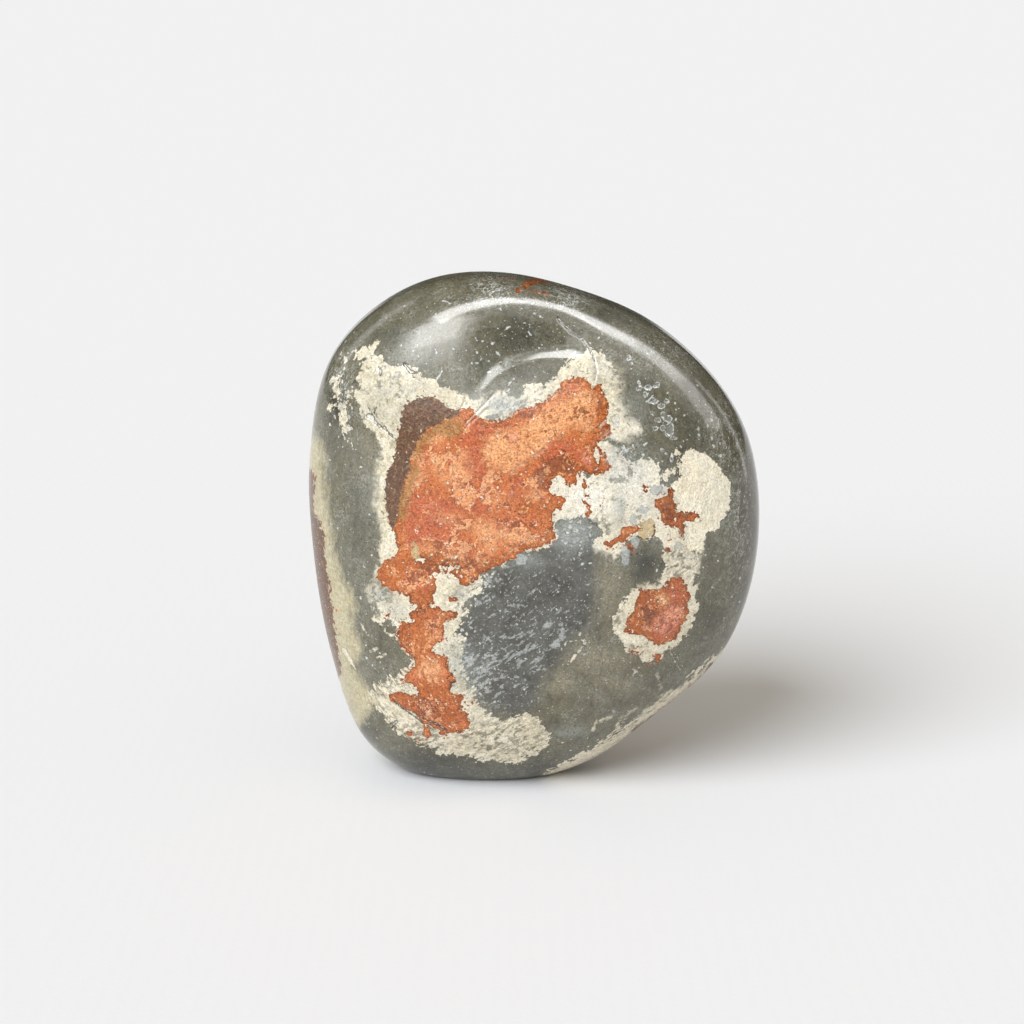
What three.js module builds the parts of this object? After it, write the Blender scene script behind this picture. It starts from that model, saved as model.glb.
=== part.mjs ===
// A hand-polished freeform jasper that stands on a small flat ground at its foot.
// It is one solid stone, so the model is one closed mesh. Sizes are in millimetres: +X is to the
// right, +Y to the back and +Z up, and the origin is on the surface that the stone stands on,
// under the middle of the stone.
import * as THREE from "three";
import { mergeVertices } from "three/addons/utils/BufferGeometryUtils.js";

// The stone's outline from the front, across and up from its middle: from the right side over the
// crown and the left shoulder, down to the heel at the lower left, and along the foot.
const OUTLINE = [
  [36.6, 0],
  [33.3, 20],
  [19.5, 35],
  [0, 42.5],
  [-15.2, 42.8],
  [-25.8, 38.2],
  [-34, 29.5],
  [-37.6, 14],
  [-37.4, -3.4],
  [-34.9, -20.6],
  [-30, -35.4],
  [-23, -41.4],
  [-12.6, -43.5],
  [0, -42.6],
  [9.6, -39],
  [18.4, -32.2],
  [31.6, -18.8],
];

// The cheeks are the broad faces. Heading is the way one looks, in degrees from the front (-Y)
// towards the right (+X), rise is how far it looks up, and reach is how far it lies from the middle.
const CHEEKS = [
  { name: "front", heading: -2, rise: -1, reach: 19.6 },
  { name: "back", heading: 178, rise: -4, reach: 20.2 },
];

// How squarely the rim turns into the cheeks: 2 is an ellipse, and a higher number is boxier.
const RIM_SQUARENESS = 2.3;

// Hollows worn into the polish. Each is centred on a place of the surface, given across and up from
// the middle of the stone, faces a way as the cheeks do, and is an oval of half-sizes long and
// short, with its long way turned from level.
const HOLLOWS = [
  { name: "shoulder_scoop", across: -2, up: 33, heading: 0, rise: 35, long: 13, short: 5, turn: 16, depth: 1.5 },
];

// The flat that the stone rests on is ground this far above its lowest rounded point.
const FLAT_GROUND_OFF = 1.9;

// Each side of the starting block has this many squares a way.
const SQUARES_A_SIDE = 27;

// The starting block's own proportions spread the squares evenly over the finished stone.
const BLOCK_HALF = new THREE.Vector3(37, 19, 42);

// The outline is read off its curve at this many places.
const OUTLINE_STEPS = 360;

const degrees = THREE.MathUtils.degToRad;

function facing(heading, rise) {
  const level = Math.cos(degrees(rise));
  return new THREE.Vector3(
    Math.sin(degrees(heading)) * level,
    -Math.cos(degrees(heading)) * level,
    Math.sin(degrees(rise)),
  );
}

const outline = new THREE.CatmullRomCurve3(
  OUTLINE.map(([across, up]) => new THREE.Vector3(across, 0, up)),
  true,
)
  .getPoints(OUTLINE_STEPS)
  .map((point) => ({ angle: Math.atan2(point.z, point.x), reach: point.length() }))
  .sort((a, b) => a.angle - b.angle);

// How far the outline lies from the middle, in a direction across and up.
function outlineReach(across, up) {
  const angle = Math.atan2(up, across);
  const found = outline.findIndex((place) => place.angle > angle);
  const next = outline[Math.max(0, found)];
  const last = outline.at(found < 1 ? -1 : found - 1);
  const turn = 2 * Math.PI;
  const span = THREE.MathUtils.euclideanModulo(next.angle - last.angle, turn);
  const share = THREE.MathUtils.euclideanModulo(angle - last.angle, turn) / span;
  return THREE.MathUtils.lerp(last.reach, next.reach, share);
}

const cheeks = CHEEKS.map(({ heading, rise, reach }) => ({ outward: facing(heading, rise), reach }));

// Where the rounded stone's surface lies from its middle, in a direction of length 1: the rim and
// the cheeks are rolled into one smooth surface.
function surfaceReach(direction) {
  const level = Math.hypot(direction.x, direction.z);
  const shares = cheeks.map(({ outward, reach }) => Math.max(0, outward.dot(direction)) / reach);
  shares.push(level / outlineReach(direction.x, direction.z));
  const sum = shares.reduce((total, share) => total + share ** RIM_SQUARENESS, 0);
  return sum ** (-1 / RIM_SQUARENESS);
}

const hollows = HOLLOWS.map((hollow) => {
  const outward = facing(hollow.heading, hollow.rise);
  const level = new THREE.Vector3(-outward.y, outward.x, 0).normalize();
  const upward = new THREE.Vector3().crossVectors(outward, level);
  const along = level
    .clone()
    .multiplyScalar(Math.cos(degrees(hollow.turn)))
    .addScaledVector(upward, Math.sin(degrees(hollow.turn)));
  return {
    outward,
    along,
    over: new THREE.Vector3().crossVectors(outward, along),
    centre: new THREE.Vector3(hollow.across, 0, hollow.up),
    long: hollow.long,
    short: hollow.short,
    depth: hollow.depth,
  };
});

// Presses the hollows into a point of the rounded block.
function pressHollows(point) {
  for (const hollow of hollows) {
    if (point.dot(hollow.outward) <= 0) continue;
    const fromCentre = point.clone().sub(hollow.centre);
    fromCentre.y = 0;
    const a = fromCentre.dot(hollow.along) / hollow.long;
    const b = fromCentre.dot(hollow.over) / hollow.short;
    point.addScaledVector(hollow.outward, -hollow.depth * Math.exp(-(a * a + b * b)));
  }
  return point;
}

// The starting block: a box whose squares are spread evenly by angle.
function startingBlock() {
  const box = new THREE.BoxGeometry(2, 2, 2, SQUARES_A_SIDE, SQUARES_A_SIDE, SQUARES_A_SIDE);
  box.deleteAttribute("normal");
  box.deleteAttribute("uv");
  return mergeVertices(box, 1e-4);
}

function stoneGeometry() {
  const geometry = startingBlock();
  const position = geometry.getAttribute("position");
  const point = new THREE.Vector3();
  const evenly = (share) => Math.tan((share * Math.PI) / 4);
  for (let i = 0; i < position.count; i++) {
    point.fromBufferAttribute(position, i);
    point.set(evenly(point.x), evenly(point.y), evenly(point.z)).normalize();
    point.multiply(BLOCK_HALF).normalize();
    point.multiplyScalar(surfaceReach(point));
    pressHollows(point);
    position.setXYZ(i, point.x, point.y, point.z);
  }
  geometry.computeBoundingBox();
  const flat = geometry.boundingBox.min.z + FLAT_GROUND_OFF;
  for (let i = 0; i < position.count; i++) {
    position.setZ(i, Math.max(position.getZ(i), flat));
  }
  geometry.computeBoundingBox();
  const { min, max } = geometry.boundingBox;
  geometry.translate(-(min.x + max.x) / 2, -(min.y + max.y) / 2, -min.z);
  geometry.computeVertexNormals();
  return geometry;
}

const polishedJasper = new THREE.MeshStandardMaterial({
  name: "polished_jasper",
  color: new THREE.Color(0.17, 0.175, 0.15),
  roughness: 0.25,
  metalness: 0,
});

const stone = new THREE.Mesh(stoneGeometry(), polishedJasper);
stone.name = "stone";

const part = new THREE.Group();
part.name = "shiva_lingam_stone";
part.add(stone);

export default part;
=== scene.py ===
import math

import bmesh
import bpy
import numpy as np
from bpy.props import FloatProperty, FloatVectorProperty, PointerProperty
from mathutils import Matrix, Vector, noise


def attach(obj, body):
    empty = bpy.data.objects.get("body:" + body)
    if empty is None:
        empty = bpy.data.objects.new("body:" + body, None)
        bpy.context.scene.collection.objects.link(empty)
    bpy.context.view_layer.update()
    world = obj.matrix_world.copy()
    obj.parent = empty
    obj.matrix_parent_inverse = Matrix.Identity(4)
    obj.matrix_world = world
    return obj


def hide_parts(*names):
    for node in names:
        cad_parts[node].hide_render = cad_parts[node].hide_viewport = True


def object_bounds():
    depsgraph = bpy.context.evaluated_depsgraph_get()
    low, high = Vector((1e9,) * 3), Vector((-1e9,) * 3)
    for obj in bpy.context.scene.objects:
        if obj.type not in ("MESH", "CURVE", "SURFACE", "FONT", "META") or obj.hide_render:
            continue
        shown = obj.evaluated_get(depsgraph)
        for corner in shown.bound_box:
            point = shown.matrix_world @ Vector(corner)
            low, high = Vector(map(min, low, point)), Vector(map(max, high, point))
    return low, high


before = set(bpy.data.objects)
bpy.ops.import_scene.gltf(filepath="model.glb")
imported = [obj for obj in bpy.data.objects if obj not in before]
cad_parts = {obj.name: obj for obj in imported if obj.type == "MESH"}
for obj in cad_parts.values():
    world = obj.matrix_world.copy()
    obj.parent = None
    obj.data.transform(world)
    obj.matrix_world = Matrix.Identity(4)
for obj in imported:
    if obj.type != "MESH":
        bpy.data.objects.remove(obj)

bl_info = {
    "name": "Polished Jasper Stone",
    "version": (1, 0, 0),
    "blender": (4, 5, 0),
    "location": "View3D > Sidebar > Jasper",
    "description": "Adds a polished freeform jasper with its markings, and a studio stage for it",
    "category": "Add Mesh",
}

CAD_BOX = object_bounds()
MM = 0.001
STONE_NODE = "stone"
STONE_SLOT = "polished_jasper"
BODY = "root"

# The markings are laid out as they are seen from one viewpoint in front of the stone. It looks
# down on the stone by VIEW_RISE, stands VIEW_DISTANCE away (mm), and aims a little to the left of
# the stone's middle and above it (mm, across and up in its own view).
VIEW_RISE = math.radians(15)
VIEW_DISTANCE = 331.9
VIEW_AIM = (-3.58, 2.67)

# Every outline below is a closed loop of places (mm across and up from the stone's middle in that
# view), joined by a smooth curve.

# The large rust field, from its upper left clockwise, with its lobe under the crown.
RUST_FIELD = [
    (-22.2, 18.6), (-21.5, 20.4), (-19.8, 21.6), (-17.3, 22), (-15.2, 21), (-13, 19.8),
    (-10.3, 20.2), (-9.8, 18.7), (-6.5, 17.9), (-4.2, 18.6), (-2.6, 20), (0, 20.3), (2.2, 21.8),
    (4.2, 23.4), (5.2, 24.9), (7.6, 25.5), (9.2, 24.6), (10, 23.5), (11, 24), (12.2, 21.4),
    (12.4, 18), (13.1, 15.4), (10.6, 14.2), (11.8, 12.3), (13, 9.9), (10.5, 8.8), (7.5, 9.2),
    (7.1, 7.2), (5.6, 7), (4.4, 8.7), (3.1, 7.8), (2.9, 5.9), (5.5, 4.9), (4.9, 3.4), (3.4, 2.3),
    (3.2, 0.2), (3, -2.4), (-1.6, -4), (-4, -5.6), (-8, -7.3), (-11.5, -9.9), (-13.4, -8),
    (-16.6, -7.7), (-20, -9), (-24.9, -10), (-26, -7.6), (-25.4, -5.9), (-22.7, -4), (-23.3, -1.6),
    (-24.3, 1.8), (-25, 6), (-24.3, 9.6), (-23.3, 12), (-22.8, 15),
]

# The rust column that hangs from the field, down to its ragged foot.
RUST_COLUMN = [
    (-17, -7.4), (-16.2, -10.6), (-17, -11.8), (-15.2, -13.4), (-12.7, -14.4), (-14.8, -16),
    (-14.6, -17.6), (-15, -19), (-17, -20.2), (-14.6, -21.3), (-14.2, -23), (-12.9, -25.3),
    (-13.8, -27.2), (-11.5, -28.1), (-12, -30), (-10.8, -31), (-10.5, -33), (-12.6, -34.1),
    (-16, -33.7), (-18.6, -32.3), (-19.9, -31.1), (-21.8, -29.9), (-24, -28.6), (-23.2, -27.3),
    (-19.5, -27.8), (-19.8, -26.6), (-21.9, -25.4), (-20.9, -23.8), (-19.8, -22), (-22.4, -19.4),
    (-22.6, -16.6), (-20.9, -14.6), (-21, -11.3), (-24.9, -10), (-23, -7),
]

# The small rust patch on the right, and the star-shaped one above it.
RUST_SMALL = [
    (17.6, -10.4), (19.4, -10.1), (21.5, -9.6), (22.8, -8.5), (24.6, -8.1), (25.5, -9.6),
    (26.4, -11.6), (25.8, -12.8), (26.2, -13.9), (25.2, -16), (23.7, -18.3), (22.1, -19.5),
    (20.4, -19.7), (18.3, -18.2), (16.6, -17.7), (15.2, -16.9), (15.4, -15.2), (16.7, -13.8),
]
RUST_STAR = [
    (20, 4.7), (21.8, 5.2), (22.5, 6.8), (23.7, 6.4), (23.2, 5), (23.8, 4.2), (23.8, 2.9),
    (24.9, 2.8), (27.3, 2.7), (27.3, 1.1), (25.3, 0.9), (25.1, -0.9), (24.3, -1.9), (23.7, 0),
    (21.5, 0.3), (21, 2),
]

# The brown ends of the stone, seen as slivers at the left edge and under the lower right bevel.
BROWN_LEFT = [
    (-45, 10), (-37, 9.8), (-36.5, 6.7), (-36.6, 3.2), (-35.9, 1.6), (-35, -1), (-34.5, -6),
    (-33.9, -10), (-33.2, -15), (-32.5, -20), (-32.2, -23), (-33, -25.4), (-40, -26), (-46, -8),
]
BROWN_BEVEL = [
    (29.8, -22.4), (28.4, -24), (24, -28.1), (20, -31.1), (16.2, -33.8), (18, -37), (27, -33),
    (33, -24),
]

# Small rust islands: place, half width and half height.
RUST_ISLANDS = [
    (-20.8, -34.4, 0.9, 0.5), (-17.9, -33.9, 0.8, 1.1), (-15.2, -34, 1, 0.5),
    (17.3, -20.8, 1.1, 0.5), (20.6, -21.6, 0.7, 0.8), (19.6, -22.8, 0.5, 0.3),
    (18.5, 6.8, 0.6, 0.6), (6.8, 4.4, 0.5, 0.2), (22.4, -3.7, 0.5, 0.5), (-13.3, -11.8, 1, 0.4),
    (-23.4, -14.6, 0.8, 0.3), (-4.2, 41.4, 1, 0.2), (22.9, -1.7, 0.3, 0.3), (24.3, 6.9, 0.3, 0.4),
]

# Thin rust lines: places with the half width of the line there.
RUST_LINES = [
    [(8.1, 9.2, 0.15), (8.6, 7, 0.2), (8.9, 5.2, 0.45), (9.2, 3.2, 0.3), (9.3, 2.6, 0.65)],
    [(9.8, -3, 0.1), (12, -2.9, 0.3), (13.4, -2.3, 0.6), (14.6, -1.8, 0.75), (15.6, -0.6, 0.8),
     (16.8, -0.1, 0.7), (17.9, -0.4, 0.4)],
    [(15.4, -1.8, 0.2), (16.1, -3, 0.4), (16.8, -4.1, 0.2)],
    [(11.5, 5.3, 0.1), (11.2, 3.8, 0.25), (10.8, 2.8, 0.1)],
    [(-2.9, 39.2, 0.15), (-1.8, 40.5, 0.45), (0.2, 41.2, 0.45), (2.4, 41, 0.2)],
    [(-0.5, 39.8, 0.1), (1, 39.3, 0.2), (2.4, 39, 0.3)],
    [(-19, -35.5, 0.1), (-17.7, -35, 0.2), (-17.3, -33, 0.2), (-14.6, -34, 0.15)],
    [(-12.2, -30, 0.2), (-10.2, -29.2, 0.25), (-9.2, -28.4, 0.15)],
]

# The brown band inside the field's upper left edge, and the ochre seam along its inner side.
BROWN_BAND = [
    (-12.4, 20.5), (-13.4, 18.6), (-16, 17.3), (-18.6, 15.3), (-20, 12.4), (-20.6, 9.2),
    (-22, 6.6), (-22.6, 3), (-23.2, 0), (-25.5, -1), (-27, 8), (-25, 18), (-23, 23), (-16, 24),
]
OCHRE_SEAM = [
    (-11.6, 17.4), (-13, 18.4), (-16, 17.5), (-18.8, 15.4), (-20.2, 12.4), (-20.8, 9.2),
    (-22.2, 6), (-22.6, 2), (-21.4, 1.6), (-20.4, 5.2), (-19.4, 8.8), (-19, 11.6), (-17.6, 14.2),
    (-15.6, 15.4), (-13.4, 15), (-12, 15.8),
]

# Cream: over the brown band, on the left shoulder, and up round the lobe.
CREAM_SHOULDER = [
    (-28.2, 28), (-27.2, 27.8), (-26, 28.5), (-24.8, 28.2), (-23.9, 27), (-22.4, 26.6),
    (-21.6, 27.4), (-19.4, 26.2), (-16.8, 24.4), (-13.5, 23), (-11.2, 22), (-8.6, 21.8),
    (-6.5, 22.6), (-4.6, 23), (-2.6, 21.9), (-1.2, 23.8), (0.4, 23.8), (2.6, 24.3), (4.4, 26),
    (6.2, 27.8), (8.6, 29.4), (11.2, 29.4), (12.8, 27.6), (14.2, 25.2), (13.8, 22.6), (15, 21),
    (15.6, 18.6), (17.6, 17.2), (17.2, 15.6), (13.4, 14.6), (11, 17), (8, 20), (0, 18), (-8, 15),
    (-16, 12), (-22, 6), (-22.6, -2), (-22, -4.6), (-24.2, -5.8), (-25.6, -5.8), (-25.6, -2),
    (-26.2, 3.7), (-26.2, 8), (-25.6, 11.5), (-25.2, 14.2), (-27.2, 16.8), (-28.7, 18.3),
    (-28.7, 20.5), (-29.8, 22.2), (-29, 24.2), (-29, 26.9),
]

# Cream between the lobe and the star, down to the branch.
CREAM_MIDDLE = [
    (11, 14.4), (13.4, 14.2), (14.2, 12.6), (16.2, 11.4), (18.6, 11.6), (20.2, 11.4), (21, 10),
    (20.8, 8.2), (22.2, 7), (24, 6.6), (25, 3), (24.6, -0.6), (26, -2.4), (28.2, -2.2),
    (27.8, -4.2), (26.4, -4), (24, -4.6), (22.6, -4.2), (21.6, -3), (20.4, -1.6), (18.4, -2.2),
    (17.8, -1), (16.6, -1.8), (15.4, -2.2), (14.2, -5), (12.8, -4.6), (11, -3.8), (9.8, -2.6),
    (11.2, -1.4), (11, 0.4), (9.2, 1.8), (6.8, 1.6), (4.8, 1.4), (2.6, 1.2), (2, 4), (2.6, 8),
    (6, 10), (10, 9),
]

# The dull rough cream patch on the right.
ROUGH_PATCH = [
    (24.5, 11.4), (25.2, 12.8), (26.8, 12.8), (28.8, 12.3), (30.4, 10.9), (31.6, 9.2), (32.7, 7.6),
    (32.9, 4.6), (32, 2.2), (30.6, 0), (28.8, -0.8), (28.4, -2.6), (27.4, -3.8), (25.6, -3.2),
    (25, -0.4), (25.4, 1), (23.8, 3.2), (23.6, 5.4), (22.6, 7.2), (24.6, 8.4), (24.9, 10),
]

# The cream rim round the small rust patch, with the neck that joins it to the cream above.
CREAM_SMALL = [
    (12.8, -15.6), (13.2, -14.2), (14.8, -12.6), (15.8, -11), (18, -10), (20.4, -9.4),
    (21.8, -6.8), (21.8, -4.4), (23.4, -3.6), (25.6, -3.6), (27.4, -4.8), (27.2, -8),
    (27.2, -11.4), (27.4, -13.4), (26.6, -16), (25.4, -17.6), (24, -19.2), (22, -20.4),
    (20.6, -21.8), (19, -22.2), (17.4, -21.4), (16.2, -20.6), (15.3, -19.2), (14.2, -18),
]

# The second cream strip and the island at the far left of the shoulder.
CREAM_STRIP = [
    (-33.6, 24.6), (-32.8, 25.2), (-32.3, 24.4), (-32.5, 22.6), (-32, 20.8), (-31.6, 18.8),
    (-30.7, 16), (-31.8, 16.4), (-32.4, 18.6), (-32.9, 21.4),
]
CREAM_ISLAND = [
    (-30.1, 28.5), (-29.6, 29.6), (-28.4, 30.2), (-27.3, 30.3), (-26, 31.2), (-26.9, 29.9),
    (-27.6, 29), (-28.6, 28.3),
]

# The beige band down the left side, the cream round the column's foot, and the cream bevel at
# the lower right. Outlines that run past the stone's edge carry on round it.
BEIGE_BAND = [
    (-40, 17), (-36.2, 15), (-35, 12), (-34.6, 5), (-33.7, 0), (-33, -5), (-31.6, -8.6),
    (-30, -12), (-30.4, -15.3), (-29.4, -18), (-28.8, -20.6), (-30, -22.8), (-29.1, -25.2),
    (-27.2, -27), (-26.4, -28.9), (-27.8, -31.2), (-29.2, -33), (-32, -33), (-34, -28), (-37, -16),
    (-40, 0),
]
CREAM_FOOT = [
    (-27.4, -28.6), (-26.8, -26.6), (-25.4, -25.6), (-23.6, -25), (-22, -23.6), (-18, -20),
    (-12.4, -18), (-11.6, -20), (-12, -23.4), (-10.6, -26), (-9, -29.4), (-6, -32), (-3, -31.6),
    (0.6, -31.6), (2.4, -34.6), (1.4, -37), (-3.4, -38.8), (-6.9, -39.2), (-10.4, -38.2),
    (-14.1, -37.6), (-17, -36.6), (-19.4, -35.8), (-21.8, -34.8), (-23.8, -32.4), (-25.6, -30.6),
]
CREAM_WAIST = [
    (-27.4, -10.8), (-26.2, -9.4), (-24.2, -10.4), (-20, -10), (-16, -6.6), (-11, -8.4),
    (-8.6, -7.6), (-8.8, -9.8), (-11, -12), (-11.6, -15), (-13.4, -17.4), (-13, -19.8), (-17, -19),
    (-21.6, -15.2), (-22.8, -16.4), (-24.2, -15.4), (-26, -15.6), (-26.8, -14.6), (-25.4, -14),
    (-26.6, -12.4),
]
CREAM_BEVEL = [
    (31.4, -20.3), (28, -23.2), (24.2, -26.6), (20.1, -29.4), (14.5, -33.6), (9.7, -36.7),
    (5, -39.2), (0, -42.4), (12, -41), (24, -33), (34, -21),
]

# Where the cream is thin and the grey shows through: place, half width, half height and strength.
THIN_WASH = [
    (-31, -20, 3, 8, 0.5), (-6, -35, 8, 4, 0.75), (-18, -35, 5, 3, 0.8), (14, -34, 12, 4, 0.3),
    (-27, -14, 3, 4, 0.9), (-25.8, -11.4, 2.4, 2.8, 1.1), (-25, -32, 2.4, 2, 1.2),
    (-22, -34, 4, 2, 0.6), (14, 8, 3, 5, 0.4), (17.4, 13, 3, 2.4, 0.7), (24, -4.4, 2.4, 1.4, 0.9),
    (-10, -12, 3, 5, 0.6), (-24, -24, 4, 6, 1), (-28, -28, 3, 4, 0.9), (-4.4, 20.4, 4.4, 2.4, 1.5),
    (-24, -35, 3, 2, 0.9), (12, 1, 1.6, 1.4, 0.7), (24.6, -6.4, 3, 2.6, 1.1),
    (13.8, -15.6, 1.6, 2.4, 0.8), (16.4, -20.4, 2.4, 1.6, 0.7),
]

# Where the cream fades out softly instead of ending at an edge.
SOFT_WASH = [
    (15.4, 21.6, 2.6, 5, 0.9), (-26.6, 2, 1.4, 8, 0.35), (22, -29, 8, 4, 0.4),
    (16, 15, 2.6, 2, 0.6), (18, -9, 3, 1.2, 0.5), (-26.4, -10, 2, 3, 0.8), (-26.8, 4, 2, 10, 0.6),
    (-8, 22.6, 6, 1.4, 0.3), (28, -7, 1, 4, 0.3), (12, -4, 3, 1.4, 0.4),
]

# Single cream flecks on the left shoulder: place, half width and half height.
CREAM_FLECKS = [
    (-33, 24.6, 0.8, 0.7), (-32.6, 22.6, 0.5, 1.6), (-32, 19.2, 0.5, 2), (-31.2, 16.8, 0.6, 0.9),
    (-31.4, 28, 0.3, 0.5), (-29.2, 25, 0.5, 0.4), (-30.8, 22.4, 0.25, 0.5), (-34, 20.4, 0.3, 0.4),
    (20, -6.4, 0.2, 0.2), (24.5, 12.2, 0.6, 0.7), (24.6, 10.2, 0.5, 0.9), (23, 9.6, 0.6, 0.4),
    (22.2, 8.8, 0.4, 0.6), (25, 8.8, 0.3, 0.8),
]

# Cream eyes that show through the rust: place, half width and half height.
CREAM_EYES = [
    (-14.3, -6.7, 1.1, 0.45), (-18.6, -5.2, 0.9, 0.35), (-16.3, -12.9, 0.5, 0.35),
    (-19.9, -13.4, 0.4, 0.4), (-20.8, -15.4, 0.5, 0.4), (10.5, 12.4, 0.2, 1),
]

# The dark slate with its pale streaks, below and to the right of the rust field.
SLATE_FIELD = [
    (-12, -15), (-9.4, -10.6), (-6.8, -7.4), (-3.2, -5.4), (0.8, -4), (3.6, -1.2), (5.6, 1.2),
    (9.2, 1.4), (10.8, -1), (10.2, -6), (10.2, -11.4), (9.3, -16.3), (6.2, -19), (4, -22.4),
    (1.4, -26), (0.2, -30), (-4.1, -31), (-8, -29.4), (-10.8, -25.6), (-13.4, -21.6), (-12, -18.8),
    (-14.4, -17.2),
]

# Soft washes of tone: place, half width, half height and strength. The dark wash also holds painted
# shade.
BLUE_WASH = [
    (-29, 6, 3, 8, 0.15), (-29.5, -4, 2, 5, 0.15), (14.4, 3.4, 1.2, 3, 0.85),
    (13.8, 8.4, 2, 1, 0.5), (18.2, 2.8, 0.9, 0.7, 0.9), (21.2, 6.2, 1.4, 0.9, 0.8),
    (-5, 20.6, 3.6, 1.8, 0.9), (-25.4, -11.4, 2, 2, 0.5), (-23, -13.4, 2, 1.4, 0.5),
    (-13, -22, 2.6, 3, 0.7), (13, 11, 1.2, 2.4, 0.5), (16.6, 9.6, 2.6, 3, 0.55),
    (18.6, 4, 2.4, 2.4, 0.4), (14, 0.4, 2, 1.6, 0.4), (10.4, 26.6, 0.8, 2, 0.5),
    (-12.2, -11.2, 1.6, 1, 0.6), (-23.6, 22, 6, 6, 0.3), (6.4, -34, 3, 1.2, 0.7),
    (6.6, -0.6, 3.6, 2.2, 0.9), (-1, -5.4, 3, 1.4, 0.8), (-12, -25, 3, 4, 0.5),
]
WARM_WASH = [
    (13, -10, 4, 9, 0.5), (12, -25, 5, 4, 0.8), (4, -27, 5, 5, 0.4), (-34, 24, 2.6, 8, 0.9),
    (-26, 34, 8, 3, 0.7), (6, 40, 14, 2.4, 0.5), (-16, 39, 9, 3, 0.6), (30, 22, 4, 12, 0.35),
    (-32.8, 4, 1.4, 8, 0.7),
]
# Darker places of the body. Some are its own darker tone. Those at the foot next to the floor,
# along the right rim and in the hollow under the crown are painted shade.
DARK_TONE_AND_SHADE_WASH = [
    (-1, 32, 7, 3.2, 0.8), (-2, 26, 4, 2, 0.5), (28, -14, 4, 8, 0.45), (-18, -41, 15, 4.4, 1.1),
    (4, -41, 13, 3.4, 1), (-29, -34, 4, 3, 0.7), (-2, -12, 8, 8, 0.5), (26, 18, 3, 8, 0.4),
    (14, 36, 10, 3, 0.35), (18.6, -6, 2.6, 3, 1), (35.6, 0, 3, 16, 0.6), (20, -25, 6, 3, 0.3),
    (-33.4, 20, 2, 7, 0.7), (-26, 33, 5, 3, 0.4), (-29.4, 3, 2.2, 9, 0.4), (-26, -20, 4, 6, 0.3),
]
PALE_WASH = [
    (-20, 31, 5, 3, 0.5), (17, 20, 2.6, 5, 0.5), (-8, 26, 5, 3, 0.3), (6.4, -1.2, 3.4, 2.6, 0.7),
    (9, 5, 5, 3.6, 0.9), (17, 8, 5, 5, 0.8),
]
TAN_WASH = [
    (11, -22, 5, 2.6, 0.5), (14, -26, 4, 2.4, 0.45), (4.6, -26, 3, 2, 0.5),
    (12.4, -10, 2.6, 7, 0.35), (-28, 12, 3, 4, 0.3), (-30, -26, 3, 5, 0.3),
]
# Where small pale specks crowd in the polish.
SPECK_WASH = [
    (-2, 30, 12, 7, 0.9), (22, 18, 6, 10, 0.8), (-18, 30, 5, 4, 0.5), (28, -4, 5, 12, 0.4),
    (0, -16, 8, 9, 0.6), (-27, -6, 4, 14, 0.4), (10, -26, 8, 5, 0.4), (24, 30, 8, 5, 0.4),
]
# Where small pale pebbles show in the stone.
PEBBLE_WASH = [
    (-23.4, 24, 3.2, 2.4, 0.5), (-9.6, -9.4, 2.4, 1.6, 0.9), (-12.6, -20.6, 2.6, 5, 0.6),
    (-6.6, -7.6, 2.4, 1.3, 0.9), (-3.2, -6, 2, 1, 0.7), (-11.6, -12, 1.6, 2.2, 0.8),
    (-31.8, 21, 1.6, 7, 0.7), (-20.6, -29.6, 3, 1.4, 0.5), (8.6, -18.4, 1, 2.6, 0.6),
    (24, 10, 2, 2, 0.5), (6.4, -0.8, 3, 2, 0.8), (-10, -24, 4, 5, 0.35), (-24, -14, 3, 3, 0.5),
    (28.6, 14, 2, 6, 0.3),
]
STAIN_WASH = [
    (-24.4, 19.4, 2.2, 2.6, 0.6), (-28, 23.6, 1.4, 3, 0.5), (-15, 23.4, 4, 1, 0.6),
    (29, 6.6, 3, 3, 0.25), (-5, -35.6, 6, 3, 0.5), (-30, -28, 3, 3, 0.6),
    (-26.4, -28.6, 2, 2, 0.5), (-23, 26, 3, 1.4, 0.4), (-22, 22, 9, 8, 0.6),
    (-25, 6, 2.4, 10, 0.5), (-24, -30, 6, 4, 0.4), (-2, -35.6, 5, 3, 0.5),
]

# The larger patches inside the rust, each an outline.
PEACH_FIELDS = [
    [(0.5, 18.8), (2.8, 21.1), (5, 21.7), (6.8, 22.5), (9.6, 22.2), (10.7, 21.1), (9.8, 18.8),
     (10.6, 16.3), (8.4, 16), (6.5, 17.1), (5, 15.4), (2.8, 14.9), (1.6, 13.2), (-0.6, 11.5),
     (-2.3, 10.3), (-4.6, 9.4), (-7.4, 10.3), (-8, 12.6), (-7.4, 14.9), (-5.1, 16), (-1.8, 17.1)],
    [(-17.1, 11.4), (-15.8, 11.9), (-14.9, 10.4), (-14.2, 8.9), (-12.9, 8.4), (-14, 7.4),
     (-15.6, 8.6), (-16.6, 9.6)],
    [(-10.3, 0.3), (-8, 1), (-6, 0.4), (-5.6, -1.6), (-6.4, -3.6), (-7.6, -4.4), (-8.6, -3),
     (-9.6, -1.6)],
    [(20.2, -11.6), (21, -10.7), (22.2, -11.3), (22.4, -12.8), (21.4, -13.3), (20.6, -12.8)],
]
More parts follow.
